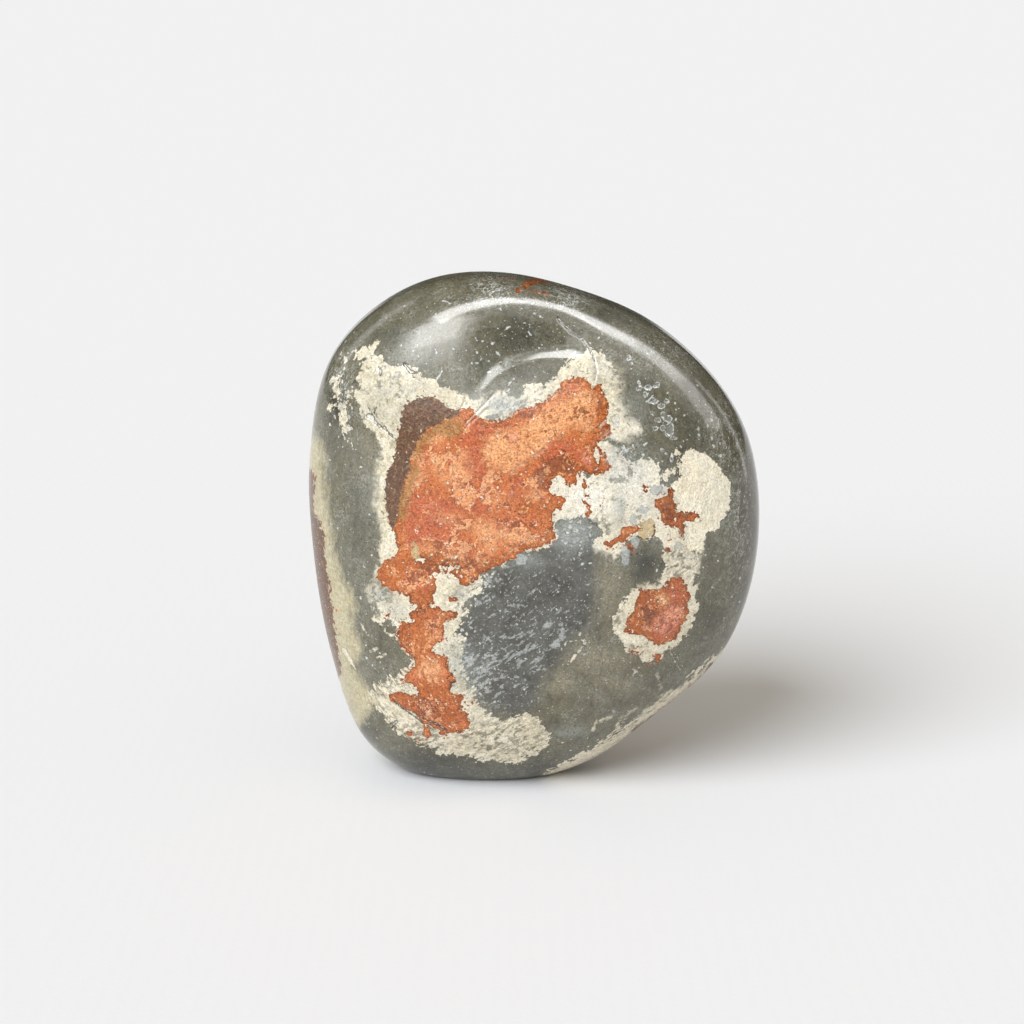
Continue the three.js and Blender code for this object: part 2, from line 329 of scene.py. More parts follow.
ROSY_FIELDS = [
    [(22.2, -12), (23, -8.8), (24.6, -8.4), (25.4, -10), (26.2, -12), (24.6, -12.6)],
    [(2.2, 13.4), (3.9, 14.8), (6.8, 14.3), (8.5, 12.6), (10.4, 10.3), (9, 9.6), (6.8, 11.3),
     (5, 12.4), (2.8, 11.3)],
    [(-12.5, 15.5), (-9.6, 17.4), (-6, 17.6), (-3.4, 17.2), (-5.6, 16.4), (-7.8, 15.1),
     (-8.6, 12.6), (-7.8, 10), (-9.6, 8.3), (-11.6, 9.4), (-12.2, 12)],
    [(-21.6, 4.3), (-18.4, 5.6), (-15, 5), (-12.6, 3.6), (-13.4, 0.6), (-15.4, -2.4),
     (-17.6, -1.4), (-20, -2.4), (-21.4, 0.6)],
    [(1.2, 6.4), (3, 6.6), (5.5, 5.2), (5.2, 4.3), (3, 4.2), (1, 4.6)],
    [(19.8, -17), (21, -15.6), (22.6, -15.4), (24.4, -15.6), (24.8, -16.8), (23.6, -18.4),
     (21.6, -19), (20, -18.4)],
    [(4.6, 23.6), (6, 24.9), (8.2, 25), (9.4, 23.8), (7.6, 22.8), (5.6, 22.6)],
]
AMBER_FIELDS = [
    [(-22.4, -19.4), (-22.6, -16.6), (-20.8, -14.6), (-18.4, -14.8), (-17, -16), (-17.4, -19),
     (-18.6, -21.4), (-20.6, -21.6)],
    [(-19.6, -26.4), (-18, -25.4), (-16, -26.4), (-13.4, -26.8), (-12, -28.4), (-14, -29),
     (-18.6, -28.4)],
    [(-21.6, -12), (-20.4, -10), (-17.2, -10.4), (-16.2, -12.4), (-18, -13.6), (-20.4, -13.6)],
    [(-3.4, 3.4), (-1, 4.4), (2, 4.2), (4.7, 4.8), (5, 3.6), (3.6, 2.3), (1.4, 2.8), (-1, 2.4),
     (-3, 2.6)],
    [(17.5, -11.2), (18, -10.1), (19.4, -9.9), (20.4, -11), (20, -12.6), (18.8, -13.2),
     (17.8, -12.6)],
    [(15.4, -16.6), (15.6, -15), (16.8, -13.6), (18, -14), (18.2, -16), (17.8, -17.6),
     (16.4, -17.8)],
    [(-24.6, -9.4), (-25.4, -7), (-23.6, -5.2), (-21.2, -5.8), (-21.4, -8.2), (-22.8, -9.6)],
]
MAROON_FIELDS = [
    [(0.2, 9.2), (1.7, 10.9), (3.9, 12), (5.3, 12.4), (7, 11), (8.5, 9.8), (10.4, 9.2), (9.4, 8.6),
     (7.3, 8.9), (5.3, 8.6), (3.9, 8.9), (2.8, 7.2), (1.4, 7)],
    [(18.4, -12.8), (19.6, -13.4), (20.8, -13), (20.8, -14.4), (19.6, -15.8), (18.6, -16.4),
     (18.2, -14.6)],
    [(20.9, 3.6), (22.6, 5), (23.7, 4.2), (23.6, 2.4), (22.6, 0.6), (21.6, 1.8)],
]
PINK_FIELDS = [
    [(19.8, -15.4), (21.4, -13.8), (23.2, -12.8), (25, -12.8), (25.2, -14.6), (24, -16.8),
     (22.2, -18), (20.4, -17.4)],
    [(7.8, 12.4), (8.6, 12.7), (9.7, 11.4), (10.5, 10.4), (9.9, 9.6), (9.1, 9.8), (8.4, 11)],
]

# The smaller ones: place, half width and half height of each.
PEACH_PATCHES = [
    (0.3, 5.4, 1.1, 1.1), (-16, 14.9, 0.7, 0.9), (-11.9, 9, 0.4, 0.8), (-12.2, 12.3, 0.9, 0.5),
    (-3.6, -2, 1.1, 1.6), (-17.6, -3.7, 1.2, 0.7), (12.1, 11.4, 0.5, 2), (-17.4, -23.4, 2.4, 1.2),
    (-17.6, -18.2, 1.8, 0.8), (-13.4, -5.2, 1.4, 0.7), (17.2, -20.6, 0.7, 0.4), (-6, 4.4, 1, 0.7),
    (-19, 9.6, 0.7, 1.2), (-8.4, -5.6, 0.7, 0.6), (16.4, -14.4, 0.5, 0.8), (-13.6, 1.8, 0.8, 0.5),
]
ROSY_PATCHES = [
    (-2.6, 7.4, 1.6, 0.9), (-9, 3.6, 1.8, 1.2), (-19, -10.4, 1.2, 1.2), (-4.4, 0.4, 2.2, 0.7),
    (-18, 12, 0.8, 1.4), (-16.4, -17.6, 1.6, 0.8),
]
PINK_PATCHES = [(-3.4, 15.2, 0.7, 0.5), (-3.6, 5.8, 0.5, 0.3), (23.4, -14.6, 0.8, 0.7)]
AMBER_PATCHES = [
    (22.5, 2, 1.6, 1.2), (26, 1.8, 1, 0.8), (-19.6, -20.4, 1.6, 1.4), (-20.4, -15.4, 1.6, 1.4),
    (12.8, -2.8, 1, 0.3), (-14, -31, 2, 1.4), (-1, -3.2, 2.6, 0.5), (-22.4, 3, 0.8, 3),
    (11.9, 10.6, 0.8, 2.6), (-10.6, -8.4, 2.4, 0.7), (-6, -5.6, 1.6, 0.6), (-21.8, 9, 0.6, 2),
]
MAROON_PATCHES = [
    (8.6, 9.6, 0.9, 0.5), (8, 19.3, 1.2, 0.7), (2.4, 16.3, 0.9, 0.3), (-19.4, -8, 1.4, 0.9),
    (11.5, 20.6, 0.5, 2.4), (11.8, 16.4, 0.8, 1.1), (-1.8, 19, 2.8, 0.6), (-6, 17.7, 2.2, 0.4),
    (-15.9, -3.7, 0.4, 0.8), (-18, -6.2, 1.4, 0.8), (-13.7, -25.9, 0.4, 0.9), (7.4, 25, 2.6, 0.5),
    (-20.4, -29.2, 1.8, 0.4), (-2, 0.6, 2, 0.3), (-5, 3.8, 1.4, 0.4), (-16.2, -16.2, 1, 0.5),
]
HONEY_PATCHES = [
    (19, 0.6, 1.1, 0.8), (18.2, -1, 0.8, 0.8), (19.8, -0.4, 0.4, 0.9), (-19.8, -3.9, 0.7, 1),
]
CELL_WASH = [
    (-13, -6.4, 5, 2, 1), (-20, -13.6, 3, 2, 1), (-21.6, -18, 1.2, 2, 1), (-17, -30, 4, 2, 1),
    (-22.4, 4, 1.4, 3, 0.8), (-8, -6, 3, 1, 0.7), (-13, -14, 2.4, 2, 0.9),
    (21, -13, 4.4, 4.4, 0.6), (17.4, -17, 2, 1, 0.6), (23, 2.6, 3, 3, 0.7),
]

# Pale crystals in the grey: place, half width and half height of each.
CRYSTALS = [
    (17, -2.3, 0.7, 1.1), (-7, 18.5, 0.8, 0.4), (24.2, -3.1, 0.8, 0.7), (20.7, -1.9, 0.5, 0.4),
    (15.3, -5, 0.7, 1.8), (-4.6, -6.2, 0.7, 0.5), (-2, -5.2, 1.2, 1), (-6.6, -7.4, 0.6, 0.4),
    (-5.6, -8.6, 0.7, 0.4), (-8, -8.6, 0.7, 0.4), (2.2, -16.1, 0.8, 0.6), (4.6, -17.6, 0.5, 1.2),
    (3.6, -19.4, 0.9, 0.8), (-3, -13, 1.3, 0.4), (20.6, 6.4, 1.1, 0.7), (18.2, 2.9, 0.9, 0.6),
    (16.6, 1.4, 0.5, 1.2), (13.4, -30.6, 0.4, 0.5),
]
# Cream scraps along the lower right: both ends and the half width of each.
SCRAPS = [
    (9.9, -33.6, 10.6, -32.2, 0.35), (11.2, -32.2, 12.2, -31.6, 0.3),
    (12.2, -31.8, 13.4, -31.1, 0.25), (13.8, -33, 15, -31.2, 0.2), (15, -32.4, 16, -30.8, 0.2),
    (15.8, -30.6, 17.2, -30.2, 0.15), (4.8, -35.8, 6.6, -35, 0.15),
    (-27.2, -20.6, -25.6, -19.8, 0.3), (-26, -21.6, -24.6, -21, 0.15),
    (-25.6, -16, -23.4, -16.6, 0.2), (-31.6, -20.4, -29.6, -23.6, 0.3),
    (-24.4, -17.6, -22.6, -18, 0.2), (-29, -15.6, -27.6, -17.8, 0.15),
    (9, -18.2, 5.4, -19.2, 0.14), (5.4, -19.2, 3.9, -21.4, 0.14), (8.3, -19.6, 6.4, -22, 0.16),
    (6.4, -22, 5, -23.8, 0.14), (18, -24.6, 16.4, -23.4, 0.1), (16.2, -25, 17.6, -23.2, 0.08),
    (22.8, -20.8, 24.4, -23.6, 0.08), (20.4, -24, 21.2, -26.6, 0.08),
    (10.2, 29.4, 14.2, 25.2, 0.14), (11.2, 29.8, 14, 26.8, 0.1), (10.8, 28.4, 13.8, 27.4, 0.08),
    (11.6, 27.4, 14.8, 26.3, 0.1), (12, 26.2, 14.7, 24.2, 0.1), (7.6, 28.6, 9.6, 30, 0.1),
    (5.4, 27.6, 7, 29.4, 0.1), (-1.2, 23.8, 2.4, 23.4, 0.14), (-0.9, 23.4, 0.9, 20.9, 0.1),
    (-8.8, 19.6, -4.4, 23.2, 0.1), (-7.4, 19.2, -2.4, 22.4, 0.08), (-5.2, 18.8, -1, 21.6, 0.08),
    (-24.8, -17, -22.2, -19.4, 0.14), (-27.6, -22.4, -25.2, -24.6, 0.12),
    (-4.8, -33.6, -0.6, -30.6, 0.12),
]

# Where the marks run in slanting streaks, and where thin hairs cross the polish.
STREAK_WASH = [
    (-9, -25, 6, 7, 1), (-25, -24, 6, 9, 1), (-2, -20, 7, 6, 0.6), (-4, -35, 9, 4, 1),
    (12, -33, 9, 3, 0.9), (-32, 20, 4, 10, 0.7), (-10, -12, 4, 5, 0.8), (2, 22, 5, 3, 0.6),
    (13, 26, 3, 3, 1), (-20, -35, 6, 3, 0.9), (24, -26, 6, 4, 0.7), (-26, -13, 3, 4, 0.8),
]
# Where the streaks slant down to the right instead.
TURN_WASH = [(-27, -24, 7, 12, 1.2), (-30, 16, 5, 10, 1), (12, 27, 4, 3, 1)]
HAIR_WASH = [
    (-7, 40, 3, 2.4, 1), (5.4, 38.6, 3.4, 2, 1), (12.4, 26.4, 2, 2, 0.7), (-8, 38, 8, 1.4, 0.4),
    (22, 30, 8, 4, 0.35), (14, 13, 2.6, 3, 0.9), (34, 4, 2, 14, 0.5), (32, 16, 3, 8, 0.5),
    (-5, 20.6, 4, 1.6, 0.8), (1, 22, 2, 1.6, 0.8), (-32, 26, 3, 8, 0.3),
]
# Open cracks: places with the half width there. Between their dark lips they have a pale floor.
DARK_CRACKS = [
    [(-27.5, 18.7, 0.35), (-27, 18.5, 0.4), (-26.5, 17.9, 0.15), (-25.8, 17.1, 0.25),
     (-25.3, 16.8, 0.1), (-24.7, 16.6, 0.3), (-24.3, 16.1, 0.08), (-23.4, 15.2, 0.12),
     (-22.4, 14.1, 0.02)],
    [(-27.6, 20.4, 0), (-27.3, 19.4, 0.03), (-26.8, 18.9, 0.04)],
    [(-26.2, 20.2, 0), (-26.6, 19, 0.03)],
    [(-21.5, 27.3, 0.2), (-20.5, 26, 0.25), (-19.3, 25.9, 0.05)],
    [(-20.5, 26, 0.05), (-19.9, 25, 0.05)],
    [(-25.9, 26.9, 0.02), (-25.4, 26.2, 0.15), (-25.6, 25.5, 0.1)],
    [(15.9, -4.4, 0.01), (16.8, -4.6, 0.04), (18, -3.7, 0.01)],
    [(17.2, -1.4, 0.02), (18.4, -1.9, 0.1), (19.6, -1.8, 0.06), (20.2, -0.8, 0.04),
     (20.1, 0.6, 0.02)],
    [(-20, -30.6, 0.02), (-18, -31.8, 0.12), (-16, -32.8, 0.12), (-14.4, -33.6, 0.04)],
    [(-14, -26.8, 0.05), (-13.2, -25.6, 0.15)],
    [(-23.8, -32.6, 0.1), (-22.8, -32.3, 0.15), (-23.4, -33.2, 0.1)],
    [(-13.2, -26.2, 0.02), (-14.4, -25.2, 0.06), (-13, -23.6, 0.02)],
    [(-24, -28, 0.02), (-22.4, -29.6, 0.08), (-19.6, -31.6, 0.06), (-17, -33.4, 0.02)],
    [(4, 35.2, 0.05), (4.5, 34.6, 0.15), (5.1, 33.9, 0.04), (5.8, 33.3, 0.14), (6.3, 32.7, 0.12),
     (7.3, 32.1, 0.04), (8.2, 31.4, 0.13), (8.9, 30.4, 0.04), (9.6, 29.4, 0.15),
     (10.2, 27.8, 0.08)],
]
PALE_CRACKS = [
    [(10.2, 27.8, 0.08), (10.6, 26.2, 0.07), (10.1, 24.2, 0.02)],
    [(23.8, 3.85, 0.06), (25.1, 4.3, 0.02)],
    [(12.6, 14.2, 0.04), (14.3, 12.1, 0.06), (16.4, 9.8, 0.05), (18.3, 7.9, 0.03)],
    [(15.2, 14, 0.03), (16.6, 12.4, 0.03)],
    [(10.8, 16.6, 0.06), (11.6, 17.6, 0.1), (12.4, 18.2, 0.06)],
    [(-11.7, 17, 0.02), (-10.4, 18.4, 0.06), (-8.2, 20.6, 0.08), (-6.6, 22.4, 0.02)],
    [(-11.4, 16.6, 0.02), (-9.6, 18.4, 0.05), (-7.6, 20, 0.03)],
    [(-12.4, 19.6, 0.02), (-11.6, 20.6, 0.25), (-11.4, 21.8, 0.05)],
    [(22.8, -20, 0.01), (24, -21.6, 0.03), (25.4, -24, 0.01)],
    [(-3.6, 9.6, 0.02), (0.4, 12.2, 0.06), (3, 14, 0.04)],
    [(-4.8, -4.6, 0.02), (-1, -2, 0.05), (2.8, -0.4, 0.02)],
]

# Pale chips in the polish: both ends and the half width of each.
PALE_CHIPS = [
    (-13.4, 29.8, -12.6, 29.2, 0.14), (-6.3, 29.4, -5.4, 28.6, 0.18),
    (-8.4, 28.5, -8.9, 27.9, 0.08), (-10.4, 27.4, -9.1, 27.6, 0.12), (-7.7, 25.9, -7.2, 26, 0.14),
    (-10.4, 24.2, -9.8, 24.9, 0.1), (-16, 24.9, -15.2, 26.2, 0.12), (-4.1, 24, -3.3, 24.9, 0.2),
    (-4.5, 22.7, -3.7, 23.2, 0.2), (-8.4, 26.9, -8.2, 27, 0.22), (-7.5, 27.8, -7.3, 27.7, 0.2),
    (-6.4, 33.4, -5.7, 33.2, 0.08), (-4.5, 33.2, -4, 33.6, 0.1), (-1.5, 34.2, -0.4, 33.9, 0.1),
    (-0.8, 32.6, -0.3, 32.1, 0.1), (0, 35.8, 1.8, 35, 0.08), (-9.5, 31.3, -9.2, 31.3, 0.2),
    (-6.9, 30.9, -6.5, 31, 0.2), (0.9, 30.1, 1, 30.1, 0.15), (-15.3, 37.9, -14.2, 37.7, 0.08),
    (-14, 37.4, -12.9, 37.7, 0.08), (-19.4, 29, -19, 28.4, 0.12), (-16.4, 30, -16.2, 29.2, 0.1),
    (-15.4, 29.4, -15.2, 28.8, 0.12), (18.9, 21.1, 19.9, 22.1, 0.18),
    (22.5, 21.6, 22.5, 21.1, 0.25), (23.7, 20.9, 23.7, 20.7, 0.15), (23.8, 19.8, 23.9, 19.7, 0.12),
    (22.1, 19.6, 22.4, 18.9, 0.08), (29.6, 15.2, 29.9, 14.8, 0.15), (31.9, 13.8, 32.1, 13.3, 0.15),
    (31.7, 17.4, 31.7, 17.3, 0.15), (18.8, 14.2, 18.4, 13.8, 0.15), (18.3, 12.2, 17.8, 12.4, 0.25),
    (16.4, 14, 16.9, 13, 0.08),
]

# Bubbles ground open by the polish, each a shallow pit with a pale ring painted round its rim as a
# highlight: place, half width and half height.
BUBBLES = [
    (20.4, 23.9, 0.5, 0.5), (19, 23.4, 0.6, 0.4), (20, 21.2, 0.75, 0.55), (21.2, 20.3, 0.5, 0.5),
    (21.6, 18.8, 0.45, 0.5), (22.4, 18.2, 0.6, 0.6), (22.6, 16.4, 0.7, 1.1),
    (20.3, 16.6, 0.35, 0.3), (21.5, 16.6, 0.4, 0.5), (23.3, 15, 0.45, 0.4),
    (17.6, 24.3, 0.25, 0.25), (17.6, 23.3, 0.3, 0.4), (18.7, 22.3, 0.4, 0.5),
    (15.9, 28.3, 0.4, 0.35), (16.4, 27.4, 0.2, 0.2), (21.4, 12.9, 0.35, 0.35),
    (23, 11.7, 0.25, 0.6), (20.8, 18, 0.5, 0.4), (22.2, 21.2, 0.4, 0.4), (19.9, 19.2, 0.4, 0.3),
    (13.9, 18.3, 0.25, 0.3), (13.8, 17.2, 0.3, 0.25), (25.9, -4.9, 0.35, 0.3),
    (27.2, -5.2, 0.3, 0.3),
]

# Grey flecks in the cream: place, half width and half height.
GREY_FLECKS = [
    (-25.8, 24.1, 0.3, 0.4), (-23.3, 24.1, 0.45, 0.2), (-22.4, 23.9, 0.3, 0.3),
    (-22.5, 22.6, 0.12, 0.5), (-24.1, 21.3, 0.25, 0.25), (-23.5, 25.1, 0.4, 0.3),
    (-27.9, 26.5, 0.2, 0.3), (-24.8, 27, 0.15, 0.35), (-22.4, 25.4, 0.3, 0.4),
    (-26, 18.7, 0.25, 0.2), (-25, 15.3, 0.3, 0.2), (-26.3, 20.2, 0.2, 0.2),
    (-21.3, 27.4, 0.3, 0.2), (-19.5, 25.6, 0.25, 0.3), (-29.5, 24.3, 0.4, 0.2),
    (10.2, 1, 0.9, 0.5), (11.8, 1, 0.4, 0.8), (12.4, -0.6, 0.5, 0.5), (14, 8, 1.4, 0.5),
    (16.1, 9.4, 0.4, 0.8), (23.2, -4.7, 0.4, 0.25), (24.8, -5.1, 0.4, 0.3), (27, 12, 0.3, 0.8),
    (-6.6, 18.5, 2.4, 0.35), (-11.4, 21.2, 0.5, 0.2), (17.6, 1.6, 0.3, 0.7),
]

# The hollow under the crown ends below in a curved fold. The outline's lower side is the fold,
# and the drop behind it fades out in a soft oval.
FOLD = [
    (-9.4, 20.6), (-8.9, 22), (-8, 23.4), (-6.4, 25), (-4.6, 26.2), (-2.6, 27.1), (-0.6, 27.6),
    (1.4, 28), (3.4, 28.1), (5.4, 28.1), (8, 27.9), (12, 27.4), (16, 34), (10, 50), (-10, 50),
    (-26, 36), (-16, 24),
]
FOLD_SPOTS = [(-6.4, 25, 2.6, 3.8, 1), (-2.4, 28, 5, 6, 1), (2.4, 30, 6, 7, 1)]
# Behind its edge the fold turns down over FOLD_TURN, drops steadily over FOLD_SLOPE and levels out
# over FOLD_END (mm).
FOLD_TURN = 0.35
FOLD_SLOPE = 0.9
FOLD_END = 1.5

# Round the sides, the back and the foot the same colours run through the stone. Each ball is a
# place (mm across, back and up from the stone's middle) and a radius, and noise moves its edge.
RUST_BALLS = [
    (12, 17, 14, 11), (2, 19, 18, 9), (-6, 19, 10, 7), (16, 17, 2, 7), (8, 19, -2, 5),
    (9, 19, -9, 3), (-12, 18, -20, 7), (-4, 19, -25, 6), (4, 17, -29, 4), (-22, 16, 26, 4),
    (-16, 18, 1, 2.4),
]
BROWN_BALLS = [
    (-37, 3, 6, 6.5), (-36, 1.5, -1, 8), (-35, 1.5, -9, 8), (-33.6, 2, -16, 7.4),
    (-32, 3, -21, 5.6), (30, 5.6, -23, 8), (25, 5.6, -27, 8), (20, 5.6, -31, 8),
    (16, 5.6, -34.5, 7), (22, 14, 16, 5), (17, 16, 23, 5), (-15, 18, -15, 4),
]
CREAM_BALLS = [
    (14, 16, 16, 16), (0, 18, 20, 13), (-8, 18, 8, 10), (18, 15, -4, 9), (-10, 17, -22, 11),
    (4, 16, -28, 8), (-22, 15, 26, 7), (-31, 12, 14, 5), (26, 8, -24, 12), (18, 8, -32, 12),
    (-18, 18, 0, 4.4),
]
BEIGE_BALLS = [(-36, 6, 0, 10), (-34, 6, -14, 10)]
SLATE_BALLS = [(-22, 16, -2, 9), (-16, 17, -10, 8), (28, 12, 6, 8), (4, 20, 4, 6)]
PEACH_BALLS = [(6, 19, 20, 5), (14, 17, 8, 5), (-10, 18, -22, 4), (-5, 20, 11, 3)]
ROSY_BALLS = [(0, 19, 14, 5), (17, 16, 0, 4), (-15, 18, -18, 3)]
AMBER_BALLS = [(9, 19, -6, 5), (-3, 19, -27, 4)]
MAROON_BALLS = [(10, 18, 15, 3), (-8, 19, 8, 3), (-1, 19, 22, 2.4)]
OCHRE_BALLS = [(21, 14, 16, 7), (16, 16, 23, 6.6)]

# The blotch sizes of the noise that moves the balls' edges, and how far it reaches (mm). It grows
# from nothing at the rim over BALL_DRIFT_RUN. Unseeded, this noise would differ from run to run.
BALL_DRIFTS = ((9, 7), (3.4, 3))
BALL_DRIFT_RUN = 8
BALL_DRIFT_SEED = 4


def tone(red, green, blue):
    """A linear colour from the three shares of a display colour, each out of 255."""
    def linear(share):
        share /= 255
        return share / 12.92 if share <= 0.04045 else ((share + 0.055) / 1.055) ** 2.4
    return linear(red), linear(green), linear(blue)


def colour(name, description, red, green, blue):
    return FloatVectorProperty(
        name=name, description=description, default=tone(red, green, blue),
        subtype="COLOR", size=3, min=0, max=1,
    )


class JasperColours(bpy.types.PropertyGroup):
    """The stone's colours."""

    matrix: colour("Matrix", "The grey-green body of the stone", 126, 123, 107)
    olive: colour("Olive", "The warm parts of the body", 112, 106, 82)
    blue_grey: colour("Blue grey", "The cool parts of the body and of the cream", 158, 162, 156)
    shadow: colour("Shadow", "The darkest parts of the body", 66, 65, 56)
    slate: colour("Slate", "The dark field below the rust", 104, 103, 97)
    streak: colour("Streak", "The pale streaks in the slate", 180, 184, 180)
    cream: colour("Cream", "The cream rims and patches", 232, 225, 204)
    white: colour("White", "The whitest parts of the cream", 246, 242, 230)
    chalk: colour("Chalk", "The dull rough patch", 228, 214, 184)
    rust: colour("Rust", "The main rust colour", 203, 117, 66)
    peach: colour("Peach", "The palest rust", 242, 176, 122)
    rosy: colour("Rosy", "The red patches in the rust", 190, 98, 66)
    pink: colour("Pink", "The pink patches in the rust", 234, 154, 128)
    amber: colour("Amber", "The golden brown of the rust's edges", 182, 98, 40)
    maroon: colour("Maroon", "The dark patches in the rust", 126, 70, 46)
    deep: colour("Deep rust", "The lines and dots in the rust", 98, 48, 26)
    honey: colour("Honey", "The yellow patches beside the rust", 204, 174, 122)
    beige: colour("Beige", "The band down the left side", 200, 190, 158)
    stain: colour("Stain", "The dull stains in the cream", 178, 166, 128)
    brown: colour("Brown", "The brown band", 112, 80, 60)
    ochre: colour("Ochre", "The seam inside the brown band", 158, 116, 66)
    speck: colour("Speck", "The pale specks", 214, 216, 210)
    crack: colour("Crack", "The lips of the cracks", 60, 50, 38)


def depth_setting(name, description, millimetres, most=1):
    return FloatProperty(
        name=name, description=description, default=millimetres * MM, min=0, max=most * MM,
        subtype="DISTANCE", unit="LENGTH",
    )


class JasperRelief(bpy.types.PropertyGroup):
    """What lies below the polish, and how shiny the polish is."""

    fold_depth: depth_setting(
        "Fold depth", "How far the crown's hollow drops behind its lower edge", 0.54, most=2,
    )
    rough_depth: depth_setting("Rough depth", "How far the dull patch lies below the polish", 0.22)
    crack_depth: depth_setting("Crack depth", "How deep the open cracks are", 0.2)
    pit_depth: depth_setting("Pit depth", "How deep the pits in the polish are", 0.16)
    gloss: FloatProperty(
        name="Gloss", description="How shiny the polish is", default=0.86, min=0, max=1,
        subtype="FACTOR",
    )


class JasperStage(bpy.types.PropertyGroup):
    """The floor, the lights and the camera."""

    paper: colour("Paper", "The floor's colour", 236, 236, 236)
    lens: FloatProperty(
        name="Lens", description="The camera's focal length", default=70, min=20, max=200,
        subtype="DISTANCE_CAMERA", unit="CAMERA",
    )
    key_power: FloatProperty(
        name="Key light", description="The strength of the large soft light", default=3.1, min=0,
    )
    surround: FloatProperty(
        name="Surround", description="The strength of the light from all round", default=0.45,
        min=0,
    )


def smooth_loop(corners, steps=4):
    """The places along a smooth closed curve through the corners of an outline."""
    p1 = np.array(corners, float)
    p0, p2, p3 = np.roll(p1, 1, 0), np.roll(p1, -1, 0), np.roll(p1, -2, 0)
    shares = []
    for t in np.arange(steps) / steps:
        bend = (2 * p0 - 5 * p1 + 4 * p2 - p3) * t * t + (3 * p1 - p0 - 3 * p2 + p3) * t ** 3
        shares.append(p1 + 0.5 * ((p2 - p0) * t + bend))
    return np.stack(shares, 1).reshape(-1, 2)


def segment_distance(places, start, end):
    """How far each place is from a straight segment, and how far along it the nearest point is."""
    run = end - start
    share = np.clip(((places - start) @ run) / max(run @ run, 1e-9), 0, 1)
    return np.linalg.norm(places - start - share[:, None] * run, axis=1), share


def outline_distance(places, corners):
    """How far each place is outside a smooth outline, negative inside it."""
    loop = smooth_loop(corners)
    nearest = np.full(len(places), np.inf)
    inside = np.zeros(len(places), bool)
    for start, end in zip(loop, np.roll(loop, -1, 0)):
        distance, _ = segment_distance(places, start, end)
        nearest = np.minimum(nearest, distance)
        spans = (start[1] > places[:, 1]) != (end[1] > places[:, 1])
        rise = end[1] - start[1] or 1e-9
        crossing = start[0] + (places[:, 1] - start[1]) * (end[0] - start[0]) / rise
        inside ^= spans & (places[:, 0] < crossing)
    return np.where(inside, -nearest, nearest)


def line_distance(places, line):
    """How far each place is from a line, less the line's half width there if it has one."""
    nearest = np.full(len(places), np.inf)
    for start, end in zip(line, line[1:]):
        ends = np.array([start[:2], end[:2]], float)
        distance, share = segment_distance(places, *ends)
        if len(start) > 2:
            distance = distance - (start[2] + share * (end[2] - start[2]))
        nearest = np.minimum(nearest, distance)
    return nearest


def oval_distance(places, oval):
    """About how far each place is outside an oval, negative inside it."""
    across, up, half_width, half_height = oval
    reach = np.hypot((places[:, 0] - across) / half_width, (places[:, 1] - up) / half_height)
    return (reach - 1) * min(half_width, half_height)


def ball_distance(points, balls):
    """How far each point is outside the nearest of some balls, negative inside."""
    nearest = np.full(len(points), np.inf)
    for across, back, up, radius in balls:
        nearest = np.minimum(nearest, np.linalg.norm(points - (across, back, up), axis=1) - radius)
    return nearest


def wash(places, spots):
    """How strongly a soft wash colours each place."""
    total = np.zeros(len(places))
    for across, up, half_width, half_height, strength in spots:
        reach = np.hypot((places[:, 0] - across) / half_width, (places[:, 1] - up) / half_height)
        total = np.maximum(total, strength * np.exp(-reach ** 2))
    return total


def drift(points):
    """The points, moved by noise where they lie towards the stone's back."""
    noise.seed_set(BALL_DRIFT_SEED)
    moved = points.copy()
    share = np.clip(points[:, 1] / BALL_DRIFT_RUN, 0, 1)
    for index in np.nonzero(share)[0]:
        point = Vector(points[index])
        for size, reach in BALL_DRIFTS:
            moved[index] += share[index] * reach * np.array(noise.noise_vector(point / size))
    return moved


CHIP_LINES = [[(*chip[:2], chip[4]), (*chip[2:4], chip[4] / 2)] for chip in PALE_CHIPS]
SCRAP_LINES = [[(*scrap[:2], scrap[4]), (*scrap[2:4], scrap[4] / 2)] for scrap in SCRAPS]


